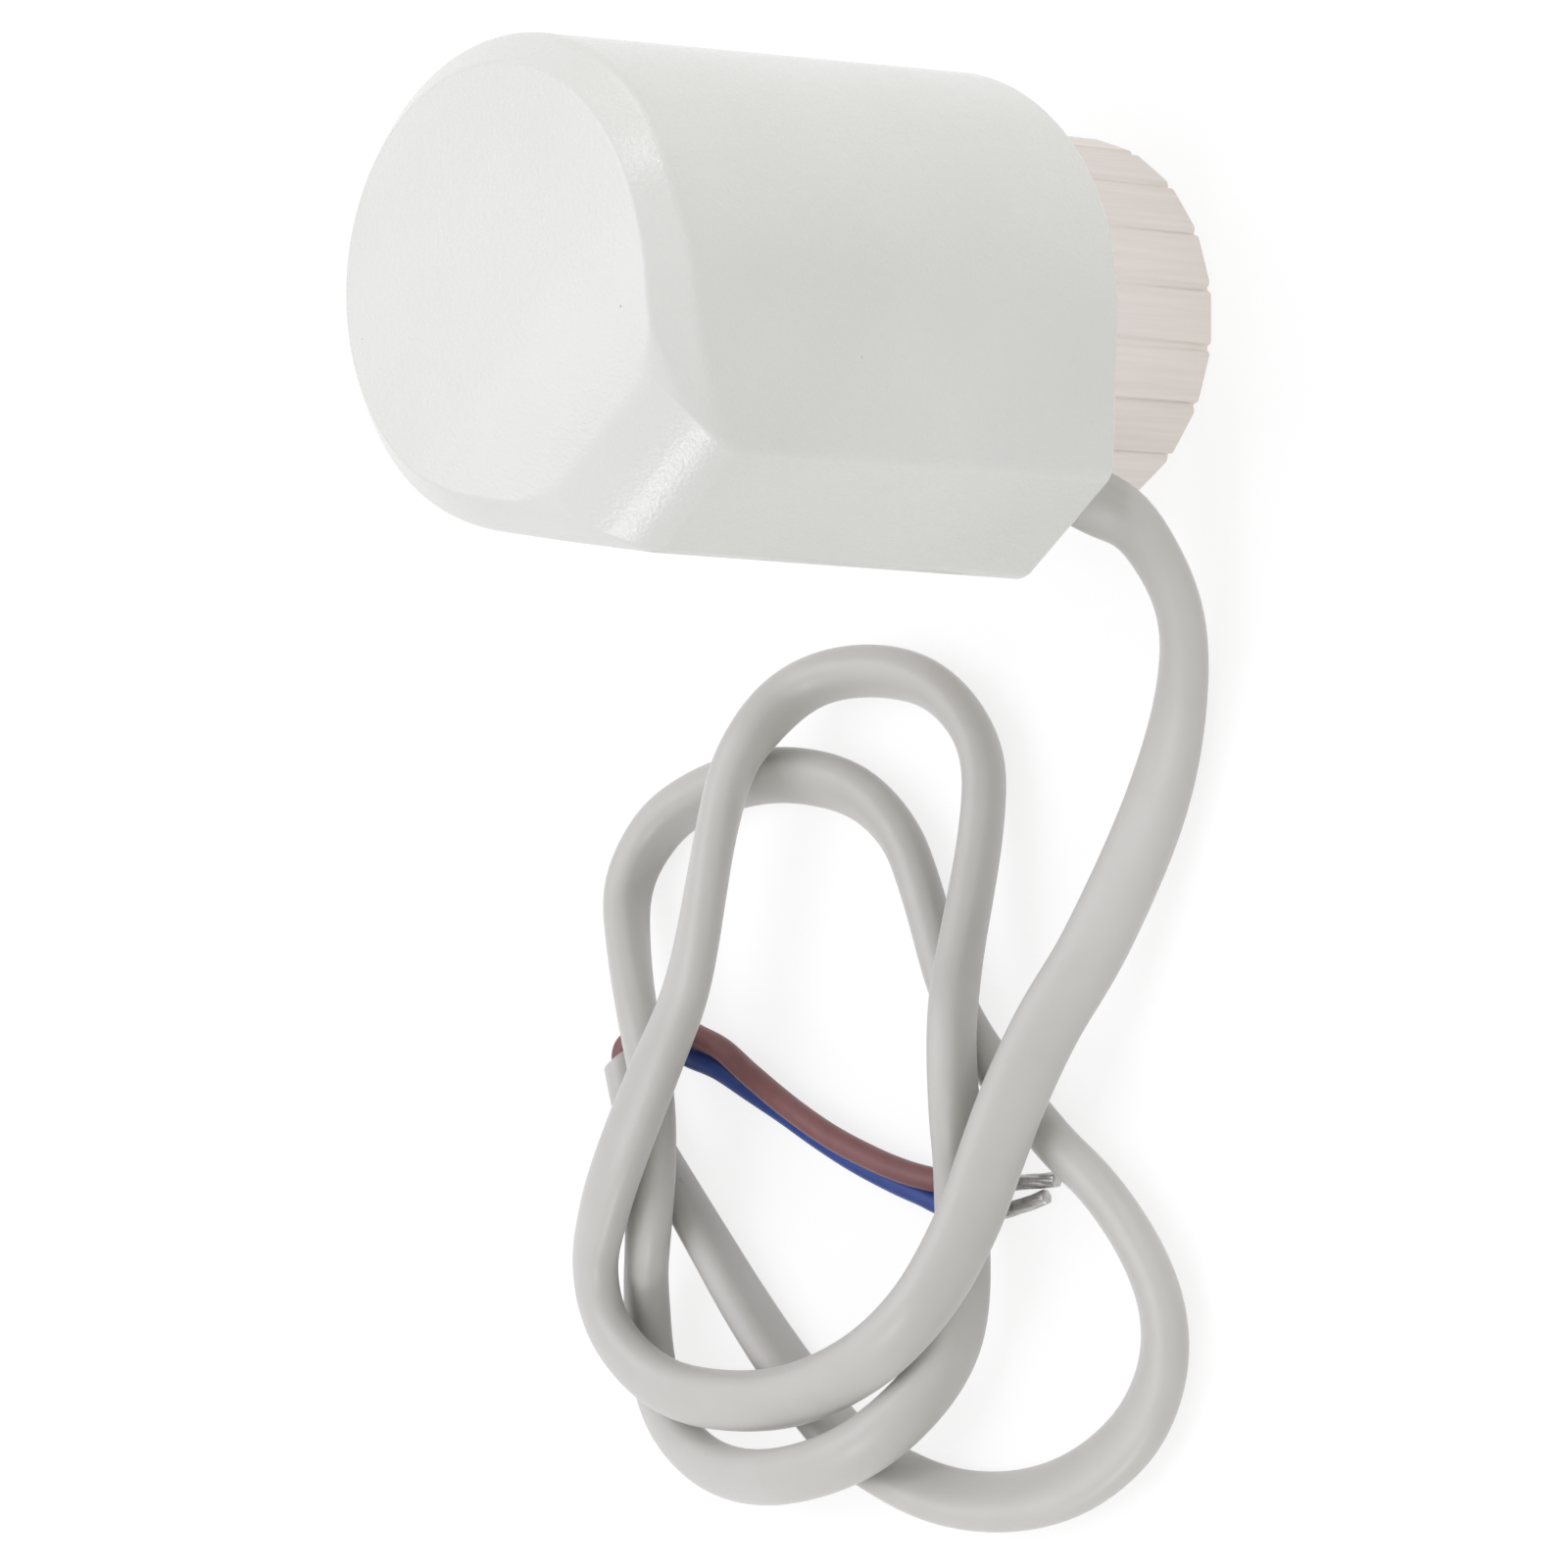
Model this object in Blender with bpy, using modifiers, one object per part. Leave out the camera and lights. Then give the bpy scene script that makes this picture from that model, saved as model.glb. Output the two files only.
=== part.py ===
"""Thermoelectric valve actuator head, normally closed, with a union nut and a loose flat cable.

Units are metres and +Z is up. The origin lies on the union nut's axis, in the plane of its lower rim,
so the head stands on its nut. The head is drawn with its cable nose along -Y and turned by NOSE_TURN.
The cable lies on the surface that the nut stands on, in the three loose loops of its packing.
"""

import math

import bmesh
import bpy
import numpy as np
from mathutils import Matrix, Vector

MM = 0.001
WELD_DISTANCE = 0.000002

# Clearances
SEAT_GAP = 0.3 * MM
SLIDE_GAP = 0.3 * MM

# Casing
HEAD_RADIUS = 22.0 * MM
HEAD_TOP = 72.0 * MM
NOSE_REACH = 25.3 * MM
NOSE_HALF_WIDTH = 6.9 * MM
NOSE_CORNER_RADIUS = 2.5 * MM
LEAST_CORNER_RADIUS = 0.2 * MM
NOSE_TURN = math.radians(-45)
DRAFT_INSET = 0.95 * MM
TOP_CHAMFER = 2.7 * MM
ROOF_CREST = 4.5 * MM
ROOF_FALL_RADIUS = 38.0 * MM
COVER_WALL = 2.0 * MM
COVER_ROOF = 2.2 * MM
REBATE_DEPTH = 0.7 * MM
BASE_RECESS = 0.4 * MM
BASE_THICKNESS = 2.7 * MM
GASKET_THICKNESS = 0.8 * MM
GASKET_WIDTH = 0.8 * MM

# Snap tongues that hold the base in the cover
TONGUE_ANGLES = (0.0, 90.0, 180.0)
TONGUE_WIDTH = 6.0 * MM
TONGUE_THICKNESS = 1.4 * MM
TONGUE_HEIGHT = 6.6 * MM
BARB_WIDTH = 4.0 * MM
BARB_HEIGHT = 1.6 * MM
BARB_REACH = 1.2 * MM

# Union nut, thread M30 x 1.5
NUT_RADIUS = 17.4 * MM
NUT_HEIGHT = 16.6 * MM
NUT_COVER_GAP = 0.9 * MM
NUT_LANDS = 20
NUT_GROOVE_WIDTH = 1.0 * MM
NUT_GROOVE_DEPTH = 0.45 * MM
NUT_GROOVE_TURN = math.radians(5.4)
NUT_CHAMFER = 0.6 * MM
THREAD_MAJOR_RADIUS = 15.0 * MM
THREAD_DEPTH = 0.8 * MM
THREAD_PITCH = 1.5 * MM
THREAD_TURNS = 6
NUT_SHOULDER = 3.6 * MM

# Neck of the base and the spring ring that carries the nut
NECK_RADIUS = 11.8 * MM
NECK_TAIL = 0.8 * MM
NECK_LIP = 1.4 * MM
RING_PROUD = 1.6 * MM
RING_THICKNESS = 1.2 * MM
RING_GROOVE_DEPTH = 1.0 * MM
RING_GAP_ANGLE = math.radians(24)

# Plunger
PLUNGER_RADIUS = 4.0 * MM
PLUNGER_REACH = 2.0 * MM
PLUNGER_CHAMFER = 0.5 * MM
PLUNGER_STROKE = 4.0 * MM
STUD_RADIUS = 2.0 * MM
BUSH_WALL = 1.6 * MM
BUSH_FLANGE_RADIUS = 8.0 * MM
BUSH_FLANGE = 1.0 * MM
SEAL_THICKNESS = 1.7 * MM
CLIP_RADIUS = 4.4 * MM
CLIP_THICKNESS = 0.8 * MM

# Lifting cage, which carries the wax capsule over the bridge
CAGE_FLOOR = 2.2 * MM
CAGE_WALL = 1.7 * MM
CAGE_RING = 3.2 * MM
CAGE_FLANGE_RIM = 0.3 * MM

# Fixed bridge that the wax piston stands on
BRIDGE_WIDTH = 6.0 * MM
BRIDGE_THICKNESS = 2.5 * MM
BRIDGE_LEG = 1.4 * MM
BRIDGE_SOCKET = 1.5 * MM

# Wax element
PISTON_RADIUS = 2.0 * MM
GUIDE_WALL = 1.2 * MM
GUIDE_SLEEVE = 6.0 * MM
GUIDE_FLANGE = 2.8 * MM
GUIDE_CLEARANCE = 1.3 * MM
CAPSULE_WALL = 1.0 * MM
CAPSULE_FLANGE_WIDTH = 1.5 * MM
CAPSULE_FLANGE = 2.0 * MM
CAPSULE_LIP = 1.0 * MM
DIAPHRAGM_THICKNESS = 1.3 * MM

# Heater on top of the capsule
CONTACT_THICKNESS = 0.5 * MM
CONTACT_SETBACK = 1.0 * MM
CONTACT_TAB_WIDTH = 2.4 * MM
CONTACT_TAB_LENGTH = 3.0 * MM
CONTACT_TAB_OFFSET = 2.5 * MM
HEATER_SETBACK = 0.4 * MM
HEATER_THICKNESS = 2.0 * MM
CAP_WALL = 1.3 * MM
CAP_HEADROOM = 5.0 * MM

# Closing spring
SPRING_WIRE_RADIUS = 1.0 * MM
SPRING_COILS = 7
SPRING_POINTS_PER_COIL = 9
SPRING_DEAD_PITCH = 2.7 * MM
SEAT_WIDTH = 3.0 * MM
SEAT_THICKNESS = 1.6 * MM
SEAT_LUG_HEIGHT = 5.0 * MM
SEAT_LUG_INSET = 0.6 * MM
SEAT_LUG_WIDTH = 4.0 * MM
SEAT_LUG_ANGLES = (-10.0, 40.0, 90.0, 140.0, 190.0)

# Flat twin cable
CABLE_WIDTH = 6.2 * MM
CABLE_THICKNESS = 4.0 * MM
CABLE_INNER_END = 30.0 * MM
CABLE_STATIONS = 96
CABLE_MEASURE_STATIONS = 480
CABLE_LEAN = 0.02
CABLE_LOOP = 25.0 * MM
CABLE_SIDES = 12
GROMMET_WALL = 0.5 * MM
GROMMET_FIT = 0.15 * MM
GROMMET_COLLAR = 1.0 * MM
GROMMET_COLLAR_HEIGHT = 2.4 * MM
GRIP_WALL = 0.4 * MM
GRIP_HEIGHT = 2.6 * MM
CORE_RADIUS = 1.15 * MM
CORE_STATIONS = 26
WIRE_RADIUS = 0.6 * MM
WIRE_STATIONS = 6
LEAD_RADIUS = 0.9 * MM
LEAD_STATIONS = 22

# Facets
TURNED_STEPS = 40
SMALL_STEPS = 28

# Cable route, in millimetres: x, y, height of the middle, and the roll of the wide side in degrees.
# It leaves the nose downwards, crosses its own loops and ends under them.
CABLE_ROUTE = (
    (-14.2, -14.2, 14.8, 0),
    (-15.6, -15.7, 12.0, -6),
    (-17.5, -18, 9.2, -25),
    (-24.3, -20.2, 5.4, -35),
    (-32.5, -19.4, 3.4, -22),
    (-42.9, -17.1, 3.5, 8),
    (-55, -13.2, 5.6, 30),
    (-62.5, -10, 7.6, 40),
    (-69.3, -7.9, 9.2, 48),
    (-74.9, -6.3, 9.9, 56),
    (-82, -3.9, 10.3, 63),
    (-89.4, -0.9, 12.2, 65),
    (-95.9, 6.5, 12.0, 54),
    (-101, 18.4, 9.9, 38),
    (-102.9, 30.3, 8.8, 30),
    (-102, 37.7, 8.7, 29),
    (-98.1, 43.3, 9.3, 30),
    (-92.4, 44.3, 10.7, 23),
    (-86.3, 41.1, 13.0, 15),
    (-79.8, 37.8, 14.0, 15),
    (-71.9, 35.7, 12.6, 18),
    (-63.5, 34.8, 9.9, 28),
    (-48.4, 32.9, 9.3, 49),
    (-41.3, 30.6, 9.0, 69),
    (-35.3, 27.6, 5.2, 98),
    (-33, 20.5, 3.4, 120),
    (-33.8, 11.9, 3.0, 127),
    (-38.7, 5.2, 3.4, 128),
    (-46, 3.1, 4.5, 126),
    (-58.4, 2, 7.4, 118),
    (-64.2, 0.4, 9.4, 113),
    (-70.7, 0.2, 8.7, 111),
    (-77.3, 1.1, 6.3, 106),
    (-89.8, 0.4, 5.6, 95),
    (-97.1, 2.6, 6.3, 78),
    (-104.1, 8.3, 9.2, 60),
    (-108.5, 18.7, 9.0, 50),
    (-109.8, 30.2, 6.2, 38),
    (-107.3, 38.6, 4.4, 29),
    (-102.5, 43, 3.3, 24),
    (-94.8, 42.8, 5.1, 21),
    (-88, 39.5, 8.6, 22),
    (-81.1, 39.2, 8.8, 27),
    (-74.7, 40.9, 8.0, 34),
    (-68.4, 44.3, 7.2, 43),
    (-62.5, 48, 5.5, 54),
    (-56.5, 50.5, 3.9, 69),
    (-51.3, 48.4, 3.2, 86),
    (-47.8, 44.1, 3.2, 101),
    (-44.9, 37.2, 3.0, 117),
    (-43.6, 29.5, 3.0, 133),
    (-44.4, 21.3, 2.8, 138),
    (-47.9, 15.1, 2.9, 134),
    (-53.1, 11.5, 3.0, 132),
    (-64.2, 5.3, 2.9, 131),
    (-73.3, -6.5, 3.0, 128),
    (-77.1, -13, 3.0, 126),
    (-81.9, -18.5, 2.9, 133),
    (-87.2, -21.8, 2.7, 143),
    (-92.9, -22.2, 2.6, 152),
    (-98.8, -19.5, 2.6, 158),
    (-104, -13.5, 2.7, 154),
    (-107.1, -6.1, 2.9, 140),
    (-108.2, 2.5, 3.0, 124),
    (-107.1, 10.5, 3.1, 109),
    (-104.5, 17.7, 3.2, 96),
    (-96.8, 28.2, 3.2, 84),
    (-87.7, 38.3, 3.1, 66),
    (-79.1, 47.5, 3.0, 54),
    (-75.8, 49.4, 3.0, 48),
    (-72.5, 50.8, 3.0, 45),
)

# Routes of the two cores past the end of the jacket, in millimetres, and of their bare ends.
BROWN_CORE_ROUTE = (
    (-71.4, 50.25, 3.9),
    (-70.7, 50.25, 3.75),
    (-69.95, 49.7, 3.55),
    (-69.4, 48.75, 3.35),
    (-69, 47, 3.1),
    (-68.9, 45, 2.8),
    (-69.19, 42.91, 2.5),
    (-69.78, 41.03, 2.4),
    (-70.68, 37.33, 2.45),
    (-72.57, 32.97, 2.75),
    (-75.01, 26.93, 3.09),
    (-76.99, 21.23, 3.13),
    (-78.34, 15.8, 3.03),
    (-79.08, 11.56, 2.88),
    (-79.38, 8.46, 2.5),
    (-79.41, 6.41, 1.85),
    (-79.32, 4.53, 1.45),
    (-79.11, 2.55, 1.3),
    (-78.85, 0.61, 1.25),
)
BROWN_WIRE_ROUTE = (
    (-78.8, 0.2, 1.22),
    (-78.12, -3.29, 0.95),
    (-77.58, -6.14, 0.75),
)
BLUE_CORE_ROUTE = (
    (-72.15, 51.95, 2.08),
    (-71.4, 52.15, 1.85),
    (-70.75, 51.65, 1.5),
    (-70.5, 50.4, 1.3),
    (-70.85, 48.4, 1.25),
    (-71.35, 45.8, 1.25),
    (-72.04, 42.65, 1.25),
    (-72.72, 38.75, 1.25),
    (-74.24, 34.1, 1.25),
    (-75.72, 29.61, 1.25),
    (-77.58, 24.44, 1.25),
    (-79.15, 19.44, 1.25),
    (-80.41, 14.18, 1.25),
    (-81.12, 10.35, 1.25),
    (-81.54, 8.45, 1.25),
    (-81.9, 6, 1.25),
    (-82.06, 3.82, 1.25),
    (-81.96, 2.06, 1.25),
)
BLUE_WIRE_ROUTE = (
    (-81.86, 1.66, 1.22),
    (-81.32, 0.01, 1.1),
    (-80.37, -2.46, 0.9),
    (-79.27, -4.94, 0.75),
)

# Heights that follow from the sizes above, from the nut upwards
RING_TOP = NUT_HEIGHT - NUT_SHOULDER - SLIDE_GAP
RING_LOW = RING_TOP - RING_THICKNESS
NECK_LOW = RING_LOW - SEAT_GAP - NECK_TAIL
PLUNGER_LOW = NECK_LOW - PLUNGER_REACH
COVER_LOW = NUT_HEIGHT + NUT_COVER_GAP
BASE_LOW = COVER_LOW + BASE_RECESS
BASE_TOP = BASE_LOW + BASE_THICKNESS
REBATE_TOP = BASE_TOP + GASKET_THICKNESS + 2 * SEAT_GAP
BUSH_TOP = BASE_TOP + SEAT_GAP + BUSH_FLANGE
CAGE_LOW = BUSH_TOP + SEAT_GAP
CAGE_FLOOR_TOP = CAGE_LOW + CAGE_FLOOR
CLIP_LOW = CAGE_FLOOR_TOP + SEAT_GAP
STUD_TOP = CLIP_LOW + CLIP_THICKNESS + SEAT_GAP
BRIDGE_LOW = STUD_TOP + PLUNGER_STROKE + SLIDE_GAP
BRIDGE_TOP = BRIDGE_LOW + BRIDGE_THICKNESS
PISTON_LOW = BRIDGE_TOP + SEAT_GAP
GUIDE_LOW = BRIDGE_TOP + GUIDE_CLEARANCE
GUIDE_FLANGE_LOW = GUIDE_LOW + GUIDE_SLEEVE
GUIDE_TOP = GUIDE_FLANGE_LOW + GUIDE_FLANGE
PISTON_TOP = GUIDE_TOP - SEAT_GAP
CAPSULE_LOW = GUIDE_FLANGE_LOW - SEAT_GAP - CAPSULE_LIP
CAGE_RING_LOW = CAPSULE_LOW + CAPSULE_FLANGE + SEAT_GAP
CAGE_TOP = CAGE_RING_LOW + CAGE_RING
DIAPHRAGM_LOW = GUIDE_TOP + SEAT_GAP
WAX_LOW = DIAPHRAGM_LOW + DIAPHRAGM_THICKNESS + SEAT_GAP

# Heights from the roof downwards: the wax takes up what is left between
ROOF_LOW = HEAD_TOP - COVER_ROOF
SEAT_TOP = ROOF_LOW - SEAT_GAP - SEAT_LUG_HEIGHT
SEAT_LOW = SEAT_TOP - SEAT_THICKNESS
CAP_TOP = ROOF_LOW - CAP_HEADROOM - PLUNGER_STROKE
CAP_INNER_TOP = CAP_TOP - CAP_WALL
UPPER_CONTACT_TOP = CAP_INNER_TOP - SEAT_GAP
UPPER_CONTACT_LOW = UPPER_CONTACT_TOP - CONTACT_THICKNESS
HEATER_LOW = UPPER_CONTACT_LOW - SEAT_GAP - HEATER_THICKNESS
LOWER_CONTACT_TOP = HEATER_LOW - SEAT_GAP
LOWER_CONTACT_LOW = LOWER_CONTACT_TOP - CONTACT_THICKNESS
CAPSULE_TOP = LOWER_CONTACT_LOW - SEAT_GAP
WAX_TOP = CAPSULE_TOP - CAPSULE_WALL - SEAT_GAP
CAP_LOW = (CAGE_TOP + CAPSULE_TOP) / 2

# Radii that follow, from the plunger outwards
THREAD_MINOR_RADIUS = THREAD_MAJOR_RADIUS - THREAD_DEPTH
RING_RADIUS = NECK_RADIUS + RING_PROUD
NECK_BORE = PLUNGER_RADIUS + SLIDE_GAP + BUSH_WALL + SEAT_GAP
GUIDE_SLEEVE_RADIUS = PISTON_RADIUS + SLIDE_GAP + GUIDE_WALL

# Radii from the casing inwards: the drive fills what the tongues and the cable leave
RIM_INSET = COVER_WALL - REBATE_DEPTH + SEAT_GAP
GASKET_INSET = RIM_INSET + GASKET_WIDTH
TONGUE_OUTER = HEAD_RADIUS - GASKET_INSET - SEAT_GAP
TONGUE_INNER = TONGUE_OUTER - TONGUE_THICKNESS
CABLE_SLOT_WIDTH = CABLE_WIDTH + 2 * GROMMET_FIT
CABLE_SLOT_THICKNESS = CABLE_THICKNESS + 2 * GROMMET_FIT
GROMMET_HALF = CABLE_SLOT_THICKNESS / 2 + GROMMET_WALL
CABLE_REACH = NOSE_REACH - GASKET_INSET - SEAT_GAP - GROMMET_HALF
CAGE_FLANGE_RADIUS = min(TONGUE_INNER, CABLE_REACH - GROMMET_HALF) - SLIDE_GAP
SPRING_RADIUS = CAGE_FLANGE_RADIUS - CAGE_FLANGE_RIM - SPRING_WIRE_RADIUS
SPRING_INNER = SPRING_RADIUS * math.cos(math.pi / SPRING_POINTS_PER_COIL) - SPRING_WIRE_RADIUS
SEAT_OUTER = SPRING_RADIUS + SEAT_WIDTH / 2
SEAT_INNER = SPRING_RADIUS - SEAT_WIDTH / 2
LEG_CORNER = SPRING_INNER - SLIDE_GAP
LEG_OUTER = math.sqrt(LEG_CORNER**2 - (BRIDGE_WIDTH / 2) ** 2)
LEG_INNER = LEG_OUTER - BRIDGE_LEG
CAGE_RADIUS = LEG_INNER - 2 * SLIDE_GAP
CAGE_INNER = CAGE_RADIUS - CAGE_WALL
CAPSULE_FLANGE_RADIUS = CAGE_INNER - SLIDE_GAP
CAPSULE_RADIUS = CAPSULE_FLANGE_RADIUS - CAPSULE_FLANGE_WIDTH
CAPSULE_BORE = CAPSULE_RADIUS - CAPSULE_WALL
CONTACT_RADIUS = CAPSULE_RADIUS - CONTACT_SETBACK
HEATER_RADIUS = CONTACT_RADIUS - HEATER_SETBACK
CAP_INNER = CAPSULE_RADIUS + SEAT_GAP
CAP_OUTER = CAP_INNER + CAP_WALL
CONTACT_TAB_REACH = CAP_OUTER + CONTACT_TAB_LENGTH


# Scene helpers

def clear_scene():
    for obj in list(bpy.data.objects):
        bpy.data.objects.remove(obj, do_unlink=True)
    for name in ("valve_actuator", "cutters"):
        collection = bpy.data.collections.new(name)
        bpy.context.scene.collection.children.link(collection)


def head_frame():
    """The empty that every piece of the head hangs on, on the nut's axis."""
    frame = bpy.data.objects.new("head_frame", None)
    bpy.data.collections["valve_actuator"].objects.link(frame)
    frame.rotation_euler.z = NOSE_TURN
    return frame


def make_material(name, colour, roughness, metallic=0.0):
    material = bpy.data.materials.new(name)
    material.use_nodes = True
    shader = material.node_tree.nodes["Principled BSDF"]
    shader.inputs["Base Color"].default_value = (*colour, 1)
    shader.inputs["Roughness"].default_value = roughness
    shader.inputs["Metallic"].default_value = metallic
    return material


def keep(obj, material, frame=None):
    """Files a finished piece with the parts, gives it its material and hangs it on the head."""
    bpy.data.collections["valve_actuator"].objects.link(obj)
    obj.data.materials.clear()
    obj.data.materials.append(material)
    obj.parent = frame
    return obj


def as_cutter(obj, frame):
    bpy.data.collections["cutters"].objects.link(obj)
    obj.hide_render = True
    obj.display_type = "WIRE"
    obj.parent = frame
    return obj


def combine(obj, other, operation):
    modifier = obj.modifiers.new(other.name, "BOOLEAN")
    modifier.operation = operation
    modifier.solver = "EXACT"
    modifier.object = other


def turned(name, profile, steps=TURNED_STEPS, closed=True):
    """A profile of (radius, height) turned about Z. It runs down the outer side, top to bottom."""
    mesh = bpy.data.meshes.new(name)
    shape = bmesh.new()
    points = [shape.verts.new((radius, 0, height)) for radius, height in profile]
    for first, second in zip(points, points[1:]):
        shape.edges.new((first, second))
    if closed:
        shape.edges.new((points[-1], points[0]))
    shape.to_mesh(mesh)
    shape.free()
    obj = bpy.data.objects.new(name, mesh)
    screw = obj.modifiers.new("turn", "SCREW")
    screw.steps = steps
    screw.render_steps = steps
    screw.use_merge_vertices = True
    screw.merge_threshold = WELD_DISTANCE
    screw.use_smooth_shade = False
    return obj


def tube_profile(outer, inner, low, high):
    return [(outer, high), (outer, low), (inner, low), (inner, high)]


def disc_profile(radius, low, high):
    return [(0, high), (radius, high), (radius, low), (0, low)]


def slab(name, outline, low, high):
    """A flat outline, raised from low to high."""
    curve = bpy.data.curves.new(name, "CURVE")
    curve.dimensions = "2D"
    curve.fill_mode = "BOTH"
    curve.extrude = (high - low) / 2
    spline = curve.splines.new("POLY")
    spline.points.add(len(outline) - 1)
    spline.use_cyclic_u = True
    for point, (x, y) in zip(spline.points, outline):
        point.co = (x, y, 0, 1)
    guide = bpy.data.objects.new(name + "_outline", curve)
    bpy.context.scene.collection.objects.link(guide)
    graph = bpy.context.evaluated_depsgraph_get()
    mesh = bpy.data.meshes.new_from_object(guide.evaluated_get(graph))
    bpy.data.objects.remove(guide, do_unlink=True)
    shape = bmesh.new()
    shape.from_mesh(mesh)
    bmesh.ops.remove_doubles(shape, verts=shape.verts, dist=WELD_DISTANCE)
    bmesh.ops.translate(shape, vec=(0, 0, (low + high) / 2), verts=shape.verts)
    bmesh.ops.recalc_face_normals(shape, faces=shape.faces)
    shape.to_mesh(mesh)
    shape.free()
    return bpy.data.objects.new(name, mesh)


def loft(name, rings, folded_top=False):
    """A closed body through rings of as many points each. A folded top is closed in strips, side to side."""
    mesh = bpy.data.meshes.new(name)
    shape = bmesh.new()
    rows = [[shape.verts.new(point) for point in ring] for ring in rings]
    for lower, upper in zip(rows, rows[1:]):
        for k in range(len(lower)):
            after = (k + 1) % len(lower)
            shape.faces.new((lower[k], lower[after], upper[after], upper[k]))
    shape.faces.new(rows[0])
    top = rows[-1]
    if folded_top:
        for k in range(len(top) // 2):
            strip = (top[k], top[k + 1], top[-2 - k], top[-1 - k])
            shape.faces.new(dict.fromkeys(strip))
    else:
        shape.faces.new(top)
    bmesh.ops.recalc_face_normals(shape, faces=shape.faces)
    shape.to_mesh(mesh)
    shape.free()
    return bpy.data.objects.new(name, mesh)


def block(name, size, centre, turn=0.0):
    """A box, centred, then turned about the head's axis."""
    mesh = bpy.data.meshes.new(name)
    shape = bmesh.new()
    bmesh.ops.create_cube(shape, size=1)
    bmesh.ops.scale(shape, vec=size, verts=shape.verts)
    bmesh.ops.translate(shape, vec=centre, verts=shape.verts)
    shape.to_mesh(mesh)
    shape.free()
    obj = bpy.data.objects.new(name, mesh)
    obj.rotation_euler.z = turn
    return obj


# Outlines and curves

def arc(centre, radius, start, end, count):
    steps = [start + (end - start) * k / (count - 1) for k in range(count)]
    return [(centre[0] + radius * math.cos(a), centre[1] + radius * math.sin(a)) for a in steps]


def head_outline(inset):
    """Plan of the casing: a round with a flat nose along -Y, drawn in by inset."""
    slant = math.asin(HEAD_RADIUS / math.hypot(NOSE_REACH, NOSE_HALF_WIDTH))
    slant -= math.atan2(NOSE_HALF_WIDTH, NOSE_REACH)
    radius = HEAD_RADIUS - inset
    reach = NOSE_REACH - inset
    half = (radius - reach * math.sin(slant)) / math.cos(slant)
    corner = max(NOSE_CORNER_RADIUS - inset, LEAST_CORNER_RADIUS)
    setback = corner * math.tan((math.pi / 2 - slant) / 2)
    centre = (half - setback, corner - reach)
    right = arc(centre, corner, -math.pi / 2, -slant, 5)
    round_side = arc((0, 0), radius, -slant, math.pi + slant, 39)
    left = [(-x, y) for x, y in reversed(right)]
    return right + round_side + left


def drafted_inset(height):
    """How far the casing's walls are drawn in at a height above its lower edge."""
    return DRAFT_INSET * (height - COVER_LOW) / (HEAD_TOP - COVER_LOW)


def casing_ring(inset, height):
    """Points of the casing's plan at one height, drawn in by the draft and by inset."""
    return [(x, y, height) for x, y in head_outline(inset + drafted_inset(height))]


def roof_fall(forward):
    """How far the roof has sunk at a distance from the head's axis towards the nose."""
    past = max(forward - ROOF_CREST, 0)
    return ROOF_FALL_RADIUS - math.sqrt(max(ROOF_FALL_RADIUS**2 - past**2, 0))


def roof_ring(inset, height):
    """A ring of the casing that sinks with the roof, from its height over the head's axis."""
    return [(x, y, z - roof_fall(-y)) for x, y, z in casing_ring(inset, height)]


def stadium(width, thickness, points_per_end=6):
    """A flat cable's section, its wide side along the first axis, going round anticlockwise."""
    end = thickness / 2
    shift = (width - thickness) / 2
    right = arc((shift, 0), end, -math.pi / 2, math.pi / 2, points_per_end)
    return right + [(-x, -y) for x, y in right]


def smooth_curve(points, count):
    """Points spaced evenly along a smooth curve through the given points, of any number of values."""
    given = np.array(points, float)
    padded = np.vstack([2 * given[0] - given[1], given, 2 * given[-1] - given[-2]])
    dense = []
    for k in range(len(given) - 1):
        before, start, end, after = padded[k : k + 4]
        for t in np.linspace(0, 1, 24, endpoint=False):
            bend = (end - before) * t + (2 * before - 5 * start + 4 * end - after) * t * t
            dense.append(start + (bend + (3 * (start - end) + after - before) * t**3) / 2)
    dense = np.array(dense + [given[-1]])
    steps = np.linalg.norm(np.diff(dense[:, :3], axis=0), axis=1)
    run = np.concatenate([[0], np.cumsum(steps)])
    wanted = np.linspace(0, run[-1], count)
    return np.stack([np.interp(wanted, run, dense[:, k]) for k in range(given.shape[1])], axis=1)


def tube(name, points, radius, resolution=2):
    curve = bpy.data.curves.new(name, "CURVE")
    curve.dimensions = "3D"
    curve.bevel_depth = radius
    curve.bevel_resolution = resolution
    curve.use_fill_caps = True
    spline = curve.splines.new("POLY")
    spline.points.add(len(points) - 1)
    for point, place in zip(spline.points, points):
        point.co = (*place, 1)
    return bpy.data.objects.new(name, curve)


# Casing

def cover(frame, material):
    """A drafted shell, open below, with a chamfered roof that sinks to the nose and a rebate for the base."""
    shell_rings = [
        casing_ring(0, COVER_LOW),
        roof_ring(0, HEAD_TOP - TOP_CHAMFER),
        roof_ring(TOP_CHAMFER, HEAD_TOP),
    ]
    shell = loft("housing_cover", shell_rings, folded_top=True)
    inner_chamfer = TOP_CHAMFER / 2
    hollow_rings = [
        casing_ring(COVER_WALL, COVER_LOW - MM),
        roof_ring(COVER_WALL, ROOF_LOW - inner_chamfer),
        roof_ring(COVER_WALL + inner_chamfer, ROOF_LOW),
    ]
    hollow = loft("cover_hollow", hollow_rings, folded_top=True)
    rebate = slab("cover_rebate", head_outline(COVER_WALL - REBATE_DEPTH), COVER_LOW - MM, REBATE_TOP)
    cutters = [hollow, rebate]
    pocket_size = barb_size(SEAT_GAP)
    for number, angle in enumerate(TONGUE_ANGLES):
        cutters.append(block(f"barb_pocket_{number}", pocket_size, barb_centre(), math.radians(angle)))
    for cutter in cutters:
        combine(shell, as_cutter(cutter, frame), "DIFFERENCE")
    return keep(shell, material, frame)


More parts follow.
